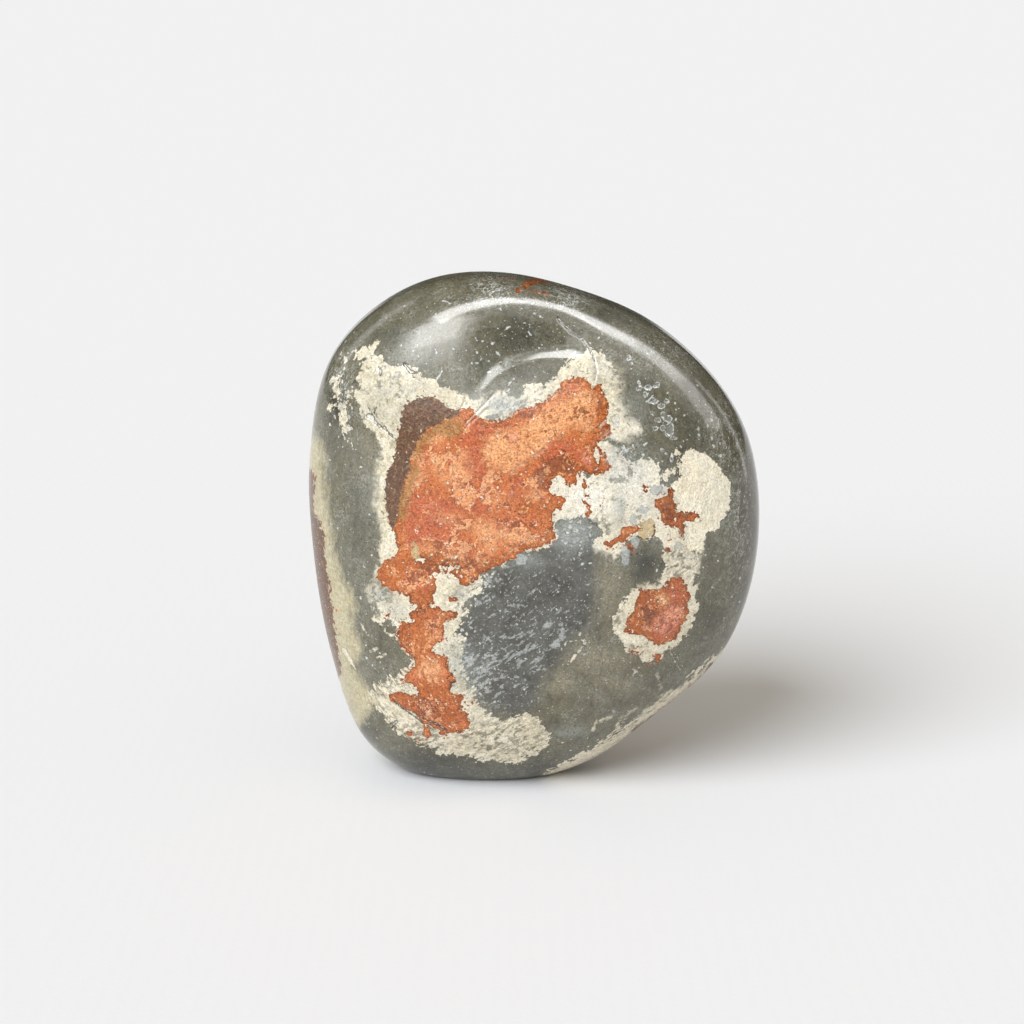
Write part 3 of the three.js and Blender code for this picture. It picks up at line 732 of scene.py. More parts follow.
class Survey:
    """Where each point of a mesh lies on the stone, in millimetres from the stone's middle."""

    # The front's markings run on round the edge until the surface is turned away from the viewer
    # by EDGE_TURN (a cosine). EDGE_RUN is the way (mm) in which it turns by 1, and noise in
    # blotches of EDGE_BLOTCH (mm) moves the end by up to EDGE_DRIFT (mm).
    EDGE_TURN = 0.25
    EDGE_RUN = 12
    EDGE_BLOTCH = 6
    EDGE_DRIFT = 3.6
    # The mirrored washes begin this far behind the stone's middle, and grow over this run (mm).
    BACK_STARTS = 3
    BACK_RUN = 6

    def __init__(self, mesh):
        count = len(mesh.vertices)
        flat = np.empty(count * 3)
        mesh.vertices.foreach_get("co", flat)
        low, high = CAD_BOX
        middle = (np.array(low) + np.array(high)) / 2
        self.points = (flat.reshape(-1, 3) - middle) / MM
        normals = np.empty(count * 3)
        mesh.vertex_normals.foreach_get("vector", normals)
        self.normals = normals.reshape(-1, 3)
        forward = np.array([0, math.cos(VIEW_RISE), -math.sin(VIEW_RISE)])
        upward = np.array([0, math.sin(VIEW_RISE), math.cos(VIEW_RISE)])
        aim = np.array([VIEW_AIM[0], 0, VIEW_AIM[1] / math.cos(VIEW_RISE)])
        eye = aim - forward * VIEW_DISTANCE
        sight = self.points - eye
        depth = sight @ forward
        across = sight[:, 0] * VIEW_DISTANCE / depth + VIEW_AIM[0]
        up = (sight @ upward) * VIEW_DISTANCE / depth + VIEW_AIM[1]
        self.places = np.stack([across, up], 1)
        self.facing = -np.einsum("ij,ij->i", self.normals, sight) / np.linalg.norm(sight, axis=1)
        wavy = np.array([noise.noise(Vector(point) / self.EDGE_BLOTCH) for point in self.points])
        # How far each point is past where the front markings end, round the stone's edge
        self.beyond_edge = (-self.EDGE_TURN - self.facing) * self.EDGE_RUN + self.EDGE_DRIFT * wavy
        self.drifted = None

    def marks(self, outlines=(), ovals=(), lines=(), balls=()):
        """How far each point is outside the nearest of some markings, negative inside."""
        nearest = np.full(len(self.points), np.inf)
        for outline in outlines:
            nearest = np.minimum(nearest, outline_distance(self.places, outline))
        for oval in ovals:
            nearest = np.minimum(nearest, oval_distance(self.places, oval))
        for line in lines:
            nearest = np.minimum(nearest, line_distance(self.places, line))
        nearest = np.maximum(nearest, self.beyond_edge)
        if balls and self.drifted is None:
            self.drifted = drift(self.points)
        return np.minimum(nearest, ball_distance(self.drifted, balls)) if balls else nearest

    def wash(self, spots):
        """How strongly a wash colours each point. It shows in front, and mirrored behind."""
        front = wash(self.places, spots) * np.clip(self.facing / self.EDGE_TURN + 1, 0, 1)
        mirrored = self.points[:, [0, 2]] * (-1, 1)
        share = np.clip((self.points[:, 1] - self.BACK_STARTS) / self.BACK_RUN, 0, 1)
        return np.maximum(front, wash(mirrored, spots) * share)


# Distances further than this (mm) are stored as this.
FAR = 8


def marking_layers(survey):
    """The mesh attributes that the stone's finish reads: distances in mm, and soft washes."""
    rust_outlines = (RUST_FIELD, RUST_COLUMN, RUST_SMALL, RUST_STAR)
    brown_ends = (BROWN_LEFT, BROWN_BEVEL)
    balls = RUST_BALLS + BROWN_BALLS
    rust = survey.marks(rust_outlines + brown_ends, RUST_ISLANDS, RUST_LINES, balls)
    rust = np.maximum(rust, -survey.marks(ovals=CREAM_EYES))
    cream_outlines = (
        CREAM_SHOULDER, CREAM_STRIP, CREAM_ISLAND, CREAM_MIDDLE, CREAM_SMALL, CREAM_FOOT,
        CREAM_WAIST, CREAM_BEVEL, ROUGH_PATCH,
    )
    layers = {
        "rust": rust,
        "halo": survey.marks(rust_outlines, balls=balls),
        "cream": survey.marks(cream_outlines, CREAM_FLECKS, balls=CREAM_BALLS),
        "band": survey.marks((BEIGE_BAND,), balls=BEIGE_BALLS),
        "scrap": survey.marks(lines=SCRAP_LINES),
        "crystal": survey.marks(ovals=CRYSTALS),
        "peach": survey.marks(PEACH_FIELDS, PEACH_PATCHES, balls=PEACH_BALLS),
        "rosy": survey.marks(ROSY_FIELDS, ROSY_PATCHES, balls=ROSY_BALLS),
        "pink": survey.marks(PINK_FIELDS, PINK_PATCHES),
        "amber": survey.marks(AMBER_FIELDS, AMBER_PATCHES, balls=AMBER_BALLS),
        "maroon": survey.marks(MAROON_FIELDS, MAROON_PATCHES, balls=MAROON_BALLS),
        "honey": survey.marks(ovals=HONEY_PATCHES),
        "brown": survey.marks((BROWN_BAND, *brown_ends), balls=BROWN_BALLS),
        "ochre": survey.marks((OCHRE_SEAM,), balls=OCHRE_BALLS),
        "rough": survey.marks((ROUGH_PATCH,)),
        "slate": survey.marks((SLATE_FIELD,), balls=SLATE_BALLS),
        "dark_crack": survey.marks(lines=DARK_CRACKS),
        "pale_crack": survey.marks(lines=PALE_CRACKS),
        "chip": survey.marks(lines=CHIP_LINES),
        "bubble": survey.marks(ovals=BUBBLES),
        "grey": survey.marks(ovals=GREY_FLECKS),
    }
    layers = {name: np.clip(values, -FAR, FAR) for name, values in layers.items()}
    washes = {
        "blue_wash": BLUE_WASH, "warm_wash": WARM_WASH, "dark_tone_and_shade_wash": DARK_TONE_AND_SHADE_WASH,
        "pale_wash": PALE_WASH, "stain_wash": STAIN_WASH, "cell_wash": CELL_WASH,
        "thin_wash": THIN_WASH, "soft_wash": SOFT_WASH, "streak_wash": STREAK_WASH,
        "hair_wash": HAIR_WASH, "tan_wash": TAN_WASH, "turn_wash": TURN_WASH,
        "pebble_wash": PEBBLE_WASH, "speck_wash": SPECK_WASH,
    }
    layers.update({name: survey.wash(spots) for name, spots in washes.items()})
    return layers


# How near to a small mark and to the fold's slope the mesh is cut finer (mm), with how many cuts a
# side, and how often the new vertices are smoothed.
FINE_NEAR_MARK = 0.3
FINE_NEAR_FOLD = 1.5
FINE_CUTS = 2
SMOOTH_ROUNDS = 3
# The sizes of the rough patch's lumps (mm), and how much they change its depth.
ROUGH_LUMP = 2.2
ROUGH_GRAIN = 0.9
ROUGH_SWING = 0.8
# How far the rough patch's step reaches out, and the way in which cracks and pits go down (mm).
ROUGH_STEP = 0.3
CARVED_RUN = 0.3


def smooth_copy(node):
    """A smooth fine mesh of a CAD node's faceted solid."""
    shaping = bmesh.new()
    shaping.from_mesh(node.data)
    bmesh.ops.remove_doubles(shaping, verts=shaping.verts, dist=0.001 * MM)
    bmesh.ops.join_triangles(
        shaping, faces=shaping.faces[:], angle_face_threshold=math.pi,
        angle_shape_threshold=math.pi,
    )
    bmesh.ops.recalc_face_normals(shaping, faces=shaping.faces[:])
    mesh = bpy.data.meshes.new("jasper_stone")
    shaping.to_mesh(mesh)
    shaping.free()
    mesh.shade_smooth()
    stone = bpy.data.objects.new("jasper_stone", mesh)
    bpy.context.scene.collection.objects.link(stone)
    rounding = stone.modifiers.new("rounding", "SUBSURF")
    rounding.levels = rounding.render_levels = 2
    seen = stone.evaluated_get(bpy.context.evaluated_depsgraph_get())
    fine = bpy.data.meshes.new_from_object(seen)
    stone.modifiers.clear()
    stone.data = fine
    fine.name = "jasper_stone"
    bpy.data.meshes.remove(mesh)
    return stone


def fold_drop(behind):
    """The share of the fold's full drop at a distance behind its edge."""
    turn = np.clip(behind, 0, FOLD_TURN)
    slope = np.clip(behind - FOLD_TURN, 0, FOLD_SLOPE)
    end = np.clip(behind - FOLD_TURN - FOLD_SLOPE, 0, FOLD_END)
    drop = turn ** 2 / (2 * FOLD_TURN) + slope + end - end ** 2 / (2 * FOLD_END)
    return drop / (FOLD_TURN / 2 + FOLD_SLOPE + FOLD_END / 2)


def fold_spread(survey):
    """How much of the fold there is at each point, fading out at its ends and far behind it."""
    return np.clip(1.3 * survey.wash(FOLD_SPOTS), 0, 1)


def cut_fine(mesh):
    """Cuts the mesh finer at the cracks, chips, bubbles and flecks."""
    survey = Survey(mesh)
    fine = survey.marks(ovals=BUBBLES + GREY_FLECKS, lines=DARK_CRACKS + PALE_CRACKS + CHIP_LINES)
    near = fine < FINE_NEAR_MARK
    slope = abs(1 + survey.marks((FOLD,))) < FINE_NEAR_FOLD
    near |= slope & (fold_spread(survey) > 0.5)
    cutting = bmesh.new()
    cutting.from_mesh(mesh)
    cutting.verts.ensure_lookup_table()
    faces = [face for face in cutting.faces if any(near[vert.index] for vert in face.verts)]
    edges = list({edge for face in faces for edge in face.edges})
    done = bmesh.ops.subdivide_edges(cutting, edges=edges, cuts=FINE_CUTS, use_grid_fill=True)
    new = [item for item in done["geom_inner"] if isinstance(item, bmesh.types.BMVert)]
    for _ in range(SMOOTH_ROUNDS):
        bmesh.ops.smooth_vert(
            cutting, verts=new, factor=0.5, use_axis_x=True, use_axis_y=True, use_axis_z=True,
        )
    cutting.to_mesh(mesh)
    cutting.free()
    mesh.shade_smooth()


def carve(mesh, relief):
    """Presses the fold, the rough patch, the cracks and the bubbles into the mesh."""
    survey = Survey(mesh)
    rough = np.clip(ROUGH_STEP - survey.marks((ROUGH_PATCH,)), 0, 1)
    cracks = survey.marks(lines=DARK_CRACKS + PALE_CRACKS)
    bubbles = survey.marks(ovals=BUBBLES)
    depth = relief.crack_depth * np.clip(0.5 - cracks / CARVED_RUN, 0, 1)
    depth += relief.pit_depth * np.clip(-bubbles / CARVED_RUN, 0, 1)
    depth += relief.fold_depth * fold_drop(-survey.marks((FOLD,))) * fold_spread(survey)
    for index in np.nonzero(rough > 0)[0]:
        point = Vector(survey.points[index])
        lump = noise.noise(point / ROUGH_LUMP) + 0.5 * noise.noise(point / ROUGH_GRAIN)
        depth[index] += relief.rough_depth * rough[index] * (1 + ROUGH_SWING * lump)
    flat = np.empty(len(mesh.vertices) * 3)
    mesh.vertices.foreach_get("co", flat)
    moved = flat.reshape(-1, 3) - survey.normals * depth[:, None]
    mesh.vertices.foreach_set("co", moved.ravel())
    mesh.update()


def store(mesh, name, values):
    attribute = mesh.attributes.new(name, "FLOAT", "POINT")
    attribute.data.foreach_set("value", values.astype(np.float32))


# Blender's noise stays close to 0.5, and this much spreads it from about -1 to 1.
NOISE_SPREAD = 4.6
# How soft the edge of a dot is (mm), and the smallest share of the full size a dot or ring has.
DOT_EDGE = 0.08
LEAST_DOT = 0.35
LEAST_RING = 0.4


class Value:
    """A shader socket that can stand in a Python sum, which then adds the Math nodes."""

    def __init__(self, finish, socket):
        self.finish = finish
        self.socket = socket

    def math(self, operation, *values, clamp=False):
        settings = {"operation": operation, "use_clamp": clamp}
        node = self.finish.node("ShaderNodeMath", settings, dict(enumerate(values)))
        return Value(self.finish, node.outputs[0])

    def __add__(self, other):
        return self.math("ADD", self, other)

    def __sub__(self, other):
        return self.math("SUBTRACT", self, other)

    def __rsub__(self, other):
        return self.math("SUBTRACT", other, self)

    def __mul__(self, other):
        return self.math("MULTIPLY", self, other)

    def __truediv__(self, other):
        return self.math("DIVIDE", self, other)

    def __gt__(self, other):
        return self.math("GREATER_THAN", self, other)

    def __lt__(self, other):
        return self.math("LESS_THAN", self, other)

    def __neg__(self):
        return self.math("MULTIPLY", self, -1)

    def __abs__(self):
        return self.math("ABSOLUTE", self)

    __radd__ = __add__
    __rmul__ = __mul__

    def least(self, other):
        return self.math("MINIMUM", self, other)

    def most(self, other):
        return self.math("MAXIMUM", self, other)

    def clamped(self):
        return self.math("ADD", self, 0.0, clamp=True)

    def inside(self, softness):
        """1 where this distance is negative, 0 where it is positive, over a softness in mm."""
        return (0.5 - self / softness).clamped()

    def line(self, width, softness=0.08):
        """1 along the line where this distance is 0."""
        return (abs(self) - width).inside(softness)


class Finish:
    """A material whose nodes are added from Python expressions."""

    def __init__(self, name):
        self.material = bpy.data.materials.new(name)
        self.material.use_nodes = True
        self.tree = self.material.node_tree
        self.shader = self.tree.nodes["Principled BSDF"]
        self.coordinates = None

    def node(self, kind, settings=None, inputs=None):
        """Adds a node, sets its settings, and then sets or links its sockets."""
        node = self.tree.nodes.new(kind)
        for name, value in (settings or {}).items():
            setattr(node, name, value)
        for name, value in (inputs or {}).items():
            self.feed(node.inputs[name], value)
        return node

    def feed(self, socket, value):
        if isinstance(value, Value):
            self.tree.links.new(value.socket, socket)
        elif hasattr(value, "__len__") and socket.type == "RGBA":
            socket.default_value = (*value[:3], 1)
        else:
            socket.default_value = value

    def attribute(self, name):
        node = self.node("ShaderNodeAttribute", {"attribute_name": name})
        return Value(self, node.outputs["Fac"])

    def millimetres(self, turn=(0, 0, 0), stretch=(1, 1, 1)):
        """Object coordinates in mm, turned and then squeezed by stretch along each axis."""
        if self.coordinates is None:
            self.coordinates = Value(self, self.node("ShaderNodeTexCoord").outputs["Object"])
        turned = self.node(
            "ShaderNodeMapping", {"vector_type": "POINT"},
            {"Vector": self.coordinates, "Rotation": turn},
        )
        squeezed = self.node(
            "ShaderNodeVectorMath", {"operation": "MULTIPLY"},
            {0: Value(self, turned.outputs[0]), 1: tuple(1 / (MM * share) for share in stretch)},
        )
        return Value(self, squeezed.outputs[0])

    def clouds(self, where, size, detail=4, roughness=0.55, twist=0):
        """Noise from about -1 to 1, with blotches about size mm across."""
        node = self.node("ShaderNodeTexNoise", None, {
            "Vector": where, "Scale": 1 / size, "Detail": detail, "Roughness": roughness,
            "Distortion": twist,
        })
        return (Value(self, node.outputs["Fac"]) - 0.5) * NOISE_SPREAD

    def shaken(self, where, size, reach):
        """Coordinates moved by noise, so that what is laid out in them is irregular."""
        inputs = {"Vector": where, "Scale": 1 / size, "Detail": 2}
        node = self.node("ShaderNodeTexNoise", None, inputs)
        shift = {0: Value(self, node.outputs["Color"]), 1: (reach, reach, reach), 2: where}
        moved = self.node("ShaderNodeVectorMath", {"operation": "MULTIPLY_ADD"}, shift)
        return Value(self, moved.outputs[0])

    def scaled(self, shade, factor):
        """A colour made brighter or darker by a factor."""
        inputs = {0: shade, "Scale": factor}
        node = self.node("ShaderNodeVectorMath", {"operation": "SCALE"}, inputs)
        return Value(self, node.outputs[0])

    def cells(self, where, size, feature="F1", spread=1):
        """A Voronoi node whose cells are about size mm across."""
        inputs = {"Vector": where, "Scale": 1 / size, "Randomness": spread}
        return self.node("ShaderNodeTexVoronoi", {"feature": feature}, inputs)

    def mix(self, share, under, over):
        """A colour: under where share is 0, over where it is 1."""
        node = self.node("ShaderNodeMix", {"data_type": "RGBA"}, {0: share, 6: under, 7: over})
        return Value(self, node.outputs[2])

    def random_of(self, cells):
        """One random number for each Voronoi cell."""
        split = self.node("ShaderNodeSeparateColor", None, {0: Value(self, cells.outputs["Color"])})
        return Value(self, split.outputs[0]), Value(self, split.outputs[1])


def dots(finish, where, size, radius, chance):
    """Round spots of up to radius mm, one in a random share of the cells."""
    cells = finish.cells(where, size)
    pick, girth = finish.random_of(cells)
    distance = Value(finish, cells.outputs["Distance"]) * size
    reach = radius * (LEAST_DOT + (1 - LEAST_DOT) * girth)
    return (distance - reach).inside(DOT_EDGE) * (pick < chance)


def rings(finish, where, size, radius, width, chance):
    """Small rings of up to radius mm, one in a random share of the cells."""
    cells = finish.cells(where, size)
    pick, girth = finish.random_of(cells)
    distance = Value(finish, cells.outputs["Distance"]) * size
    reach = radius * (LEAST_RING + (1 - LEAST_RING) * girth)
    return (distance - reach).line(width) * (pick < chance)


def hairs(finish, where, size, width):
    """Thin winding lines: the places where noise passes through its middle value."""
    return finish.clouds(where, size, 3, 0.6, 0.3).line(width)


class Fields:
    """The noise that the stone's edges and colours share."""

    def __init__(self, finish):
        self.level = level = finish.millimetres()
        self.slanted = finish.millimetres(turn=(0, math.radians(38), 0), stretch=(3.2, 1, 0.9))
        self.upright = finish.millimetres(turn=(0, math.radians(-10), 0), stretch=(0.8, 1, 3.5))
        self.shaken = finish.shaken(level, 0.6, 0.9)
        self.ragged = finish.clouds(level, 2.2, 7, 0.66)
        self.crumbs = finish.clouds(level, 0.6, 3, 0.6)
        self.grain = finish.clouds(level, 0.3, 2, 0.7)
        self.broad = finish.clouds(level, 11, 3, 0.5)
        self.patchy = finish.clouds(level, 4.2, 5, 0.6, 0.8)
        self.blotchy = finish.clouds(level, 1.7, 4, 0.6, 1.5)
        self.flakes = finish.clouds(level, 0.8, 2, 0.5, 0.8)
        self.falling = finish.millimetres(turn=(0, math.radians(-42), 0), stretch=(4.4, 1, 0.9))
        turned = finish.attribute("turn_wash").clamped()
        self.flow = finish.clouds(self.slanted, 0.75, 5, 0.66) * (1 - turned)
        self.flow = self.flow + finish.clouds(self.falling, 0.7, 5, 0.66) * turned
        self.drapes = finish.clouds(self.upright, 0.9, 4, 0.62)
        lobes = finish.cells(self.shaken, 0.8)
        self.lobes = Value(finish, lobes.outputs["Distance"]) - 0.4
        self.streaky = finish.attribute("streak_wash")
        self.pebbly = finish.attribute("pebble_wash")
        self.blue = finish.attribute("blue_wash")


def body_colour(finish, colours, fields):
    """The grey-green body, with pale and dark specks, and painted shade at its foot, right rim and
    hollow.
    """
    mix, attribute = finish.mix, finish.attribute
    uneven = 0.8 + 0.4 * fields.patchy
    shade = mix(0.5 + 0.4 * fields.broad, colours.matrix, colours.olive)
    shade = mix(attribute("warm_wash") * uneven, shade, colours.olive)
    for name in ("blue_wash", "pale_wash"):
        shade = mix(attribute(name) * uneven, shade, colours.blue_grey)
    pale = 0.35 * fields.blotchy + 0.45 * fields.crumbs - 0.25 * fields.patchy
    shade = mix(pale.clamped() * 0.7, shade, colours.blue_grey)
    shade = mix(attribute("tan_wash") * uneven * 0.45, shade, colours.chalk)
    # Darker tone in places, with painted shade at the foot, along the right rim and in the hollow
    # under the crown.
    shade = mix(attribute("dark_tone_and_shade_wash") * uneven, shade, colours.shadow)
    dark = 0.35 * fields.patchy + 0.45 * fields.crumbs + 0.3 * fields.drapes + 0.08
    shade = mix(dark.clamped(), shade, colours.shadow)
    shade = mix(dots(finish, fields.shaken, 0.7, 0.15, 0.45) * 0.8, shade, colours.shadow)
    flakes = 1.1 - fields.flow - 0.4 * fields.flakes
    streaky = (fields.streaky * 1.2 - 0.2).clamped()
    shade = mix((flakes - 0.12).line(0.08, 0.1) * streaky * 0.8, shade, colours.shadow)
    return mix(flakes.inside(0.2) * streaky * 0.9, shade, colours.speck)


def slate_colour(finish, colours, fields):
    """The dark slate with pale slanting flakes."""
    mix = finish.mix
    shade = mix(0.4 + 0.5 * fields.patchy + 0.5 * fields.crumbs, colours.slate, colours.shadow)
    shade = mix(fields.blue * (0.8 + 0.5 * fields.blotchy), shade, colours.blue_grey)
    pale = finish.attribute("pale_wash") * (0.9 + 0.6 * fields.blotchy)
    shade = mix(pale.clamped() * 0.7, shade, colours.streak)
    flow = fields.flow + 0.35 * fields.flakes + 0.3 * fields.blotchy
    flakes = 0.75 - flow - 0.75 * fields.streaky
    shade = mix((flakes - 0.08).line(0.1, 0.12) * 0.5, shade, colours.shadow)
    shade = mix(flakes.inside(0.3) * 0.65, shade, colours.streak)
    shade = mix((flakes + 0.8).inside(0.3) * 0.7, shade, colours.cream)
    shade = mix(dots(finish, fields.shaken, 0.6, 0.2, 0.4) * 0.5, shade, colours.streak)
    return mix(dots(finish, fields.shaken, 0.42, 0.1, 0.2) * 0.8, shade, colours.speck)


def cream_colour(finish, colours, fields):
    """The cream, with stained, blue-grey and streaked places."""
    mix, attribute = finish.mix, finish.attribute
    shade = mix(0.5 + 0.6 * fields.patchy + 0.2 * fields.crumbs, colours.cream, colours.chalk)
    stained = attribute("stain_wash") * (0.9 + fields.blotchy) + 0.3 * fields.blotchy - 0.14
    shade = mix(stained.clamped() * 0.85, shade, colours.stain)
    shade = mix(fields.blue * (0.9 + 0.4 * fields.ragged), shade, colours.blue_grey)
    cool = 0.4 * fields.patchy - 0.3 * fields.blotchy - 0.05
    shade = mix(cool.clamped(), shade, colours.blue_grey)
    shade = mix(attribute("pale_wash") * (0.7 + 0.4 * fields.blotchy), shade, colours.white)
    flecks = 0.8 - fields.flakes - 0.4 * fields.ragged
    shade = mix(flecks.inside(0.2) * 0.5, shade, colours.stain)
    shade = mix(flecks.line(0.05) * (0.75 - 0.55 * fields.streaky), shade, colours.shadow)
    strokes = 0.4 - fields.flow - 0.2 * fields.flakes
    shade = mix(strokes.inside(0.25) * (0.1 + fields.streaky).clamped() * 0.8, shade, colours.stain)
    shade = mix((strokes - 0.25).line(0.08, 0.12) * fields.streaky * 0.7, shade, colours.shadow)
    return mix(dots(finish, fields.shaken, 1.2, 0.14, 0.35) * 0.7, shade, colours.ochre)


def rust_colour(finish, colours, fields, edge):
    """The rust: red, peach, golden and dark patches with dark lines and dots, and pale dots, rings
    and fold lips painted as highlights.
    """
    mix, attribute = finish.mix, finish.attribute
    shade = mix(0.25 + 0.5 * fields.patchy + 0.5 * fields.crumbs, colours.rust, colours.rosy)
    golden = (edge + 0.9 + 0.6 * fields.blotchy).inside(0.5)
    folds = 0.2 - fields.patchy - 0.5 * fields.blotchy
    shade = mix(folds.inside(0.2) * 0.6, shade, colours.peach)
    shade = mix((folds - 0.1).line(0.05, 0.12) * 0.7, shade, colours.deep)
    # A pale lip along the inner edge of each peach fold, painted as a highlight.
    shade = mix((folds + 0.1).line(0.02, 0.1) * 0.5, shade, colours.cream)
    patches = (
        ("rosy", colours.rosy, 0.9, 0.85), ("peach", colours.peach, 1.9, 0.8),
        ("amber", colours.amber, 0.4, 0.9), ("maroon", colours.maroon, 0.4, 0.9),
        ("pink", colours.pink, 0.3, 0.66),
    )
    torn = 0.5 * fields.ragged + 0.5 * fields.blotchy + 0.3 * fields.flakes
    torn = torn + 0.4 * fields.crumbs + 0.3 * fields.grain
    uneven = 0.85 + 0.35 * fields.blotchy + 0.3 * fields.crumbs
    for name, tint, softness, strength in patches:
        patch = attribute(name) + torn
        shade = mix((patch.inside(softness) * uneven).clamped() * strength, shade, tint)
        shade = mix(patch.line(0.03, 0.1) * 0.45, shade, colours.deep)
    shade = mix((1 - golden) * 0.75, shade, colours.amber)
    pale = 0.45 - fields.blotchy - 0.5 * fields.flakes
    shade = mix(pale.inside(0.12) * 0.55, shade, colours.peach)
    shade = mix(pale.line(0.04) * 0.7, shade, colours.deep)
    dark = 0.55 + fields.blotchy + 0.7 * fields.flakes
    shade = mix(dark.inside(0.2) * 0.45, shade, colours.maroon)
    walls = finish.cells(fields.shaken, 0.95, "DISTANCE_TO_EDGE")
    walls = (Value(finish, walls.outputs["Distance"]) - 0.08).inside(0.1)
    shade = mix(walls * attribute("cell_wash") * 0.9, shade, colours.deep)
    ringed = rings(finish, fields.shaken, 0.9, 0.3, 0.05, 0.4) * (0.4 + attribute("cell_wash"))
    shade = mix(ringed.clamped() * 0.8, shade, colours.deep)
    shade = mix(dots(finish, fields.shaken, 0.5, 0.13, 0.35) * 0.8, shade, colours.deep)
    # Pale dots and rings, painted as the highlights of tiny bubbles in the rust.
    shade = mix(dots(finish, fields.shaken, 0.9, 0.18, 0.4) * 0.9, shade, colours.cream)
    glint_rings = rings(finish, fields.shaken, 1.4, 0.32, 0.05, 0.4) * (fields.crumbs > 0.1)
    shade = mix(glint_rings * 0.8, shade, colours.cream)
    rim = (edge + 0.16).line(0.1, 0.16)
    return mix(rim * (0.8 + 0.5 * fields.crumbs), shade, colours.deep)


def brown_colour(finish, colours, fields):
    """The brown band and the brown ends."""
    mix = finish.mix
    reddish = (0.1 + 0.6 * fields.patchy + 0.4 * fields.crumbs).clamped() * 0.4
    shade = mix(reddish, colours.brown, colours.maroon)
    dark = 0.3 + 0.35 * fields.ragged + 0.4 * fields.crumbs + 0.4 * fields.drapes
    shade = mix(dark.clamped() * 0.7, shade, colours.shadow)
    pale = 0.3 * fields.blotchy + 0.45 * fields.crumbs + 0.2 * fields.drapes - 0.05
    shade = mix(pale.clamped() * 0.45, shade, colours.honey)
    return mix(dots(finish, fields.shaken, 0.6, 0.14, 0.4) * 0.7, shade, colours.chalk)


JASPER_IOR = 1.54


def slate_coat(finish, colours, fields, surface):
    """The slate over the body, and the stars that crowd in both."""
    mix, crowd = finish.mix, finish.attribute("speck_wash")
    edge = finish.attribute("slate") + 0.7 * fields.ragged
    edge = edge + 0.6 * fields.flow * (0.3 + fields.streaky)
    surface = mix(edge.inside(2.6), surface, slate_colour(finish, colours, fields))
    stars = dots(finish, fields.shaken, 1.3, 0.22, 0.25 + 0.3 * crowd)
    stars = stars.most(dots(finish, fields.shaken, 0.55, 0.1, 0.25 + 0.35 * crowd))
    return mix(stars * 0.9, surface, colours.speck)


def cream_coat(finish, colours, fields, surface):
    """The beige band and the cream over that, and where the cream is."""
    mix, attribute, crumbs = finish.mix, finish.attribute, fields.crumbs
    band = attribute("band") + 0.5 * fields.ragged + 0.5 * fields.drapes
    beige = mix(0.25 + 0.4 * fields.patchy + 0.4 * crumbs, colours.beige, colours.stain)
    surface = mix(band.inside(1.7) * (0.9 - 0.4 * crumbs).clamped(), surface, beige)
    halo = attribute("halo") - (0.1 + 0.6 * fields.patchy)
    edge = attribute("cream").least(halo) + 0.75 * fields.ragged + 0.35 * fields.flakes
    edge = edge + 1.3 * fields.flow * fields.streaky + 0.2 * fields.drapes
    edge = edge.least(attribute("scrap") + 0.25 * fields.ragged + 0.15 * crumbs)
    soft = attribute("soft_wash")
    edge = edge + soft * (1.1 * fields.grain + 0.5 * crumbs)
    softness = 0.12 + 2.4 * soft
    cream_mask = edge.inside(softness)
    etched = (edge - 0.12).line(0.06, 0.2) * (0.6 + 0.5 * crumbs)
    surface = mix(etched * (0.6 - softness / 2).clamped(), surface, colours.shadow)
    thin = attribute("thin_wash") * (0.5 + 1.1 * fields.flow + 0.6 * fields.flakes) - 0.12
    thin = thin + 0.25 * (fields.blotchy + fields.flakes) + 0.5 * fields.flow * fields.streaky
    cream = cream_colour(finish, colours, fields)
    return mix(cream_mask * (1 - thin.clamped() * 0.85), surface, cream), cream_mask


def inclusions_coat(finish, colours, fields, surface):
    """Crystals, grey flecks and pebbles."""
    mix, attribute, crumbs = finish.mix, finish.attribute, fields.crumbs
    crystal = attribute("crystal") + 0.4 * fields.ragged + 0.25 * crumbs
    surface = mix(crystal.inside(0.15) * 0.7, surface, colours.streak)
    surface = mix(crystal.line(0.04) * 0.5, surface, colours.shadow)
    grey = attribute("grey") + 0.35 * crumbs + 0.3 * fields.ragged
    surface = mix(grey.inside(0.25) * 0.5, surface, colours.shadow)
    pebbles = dots(finish, fields.shaken, 0.75, 0.36, fields.pebbly)
    pebble = mix(0.5 + fields.blotchy, colours.cream, colours.streak)
    surface = mix(pebbles * 0.75, surface, pebble)
    rims = rings(finish, fields.shaken, 0.75, 0.38, 0.03, fields.pebbly)
    return mix(rims * 0.6, surface, colours.shadow)


def rough_coat(finish, colours, fields, surface):
    """The dull chalky patch, and where it is."""
    rough_mask = finish.attribute("rough") + 0.4 * fields.ragged + 0.25 * fields.flakes
    rough_mask = rough_mask.inside(0.12)
    chalk = 0.3 + 0.5 * fields.patchy + 0.3 * fields.crumbs
    chalk = finish.mix(chalk, colours.cream, colours.chalk)
    return finish.mix(rough_mask, surface, finish.scaled(chalk, 1.18)), rough_mask


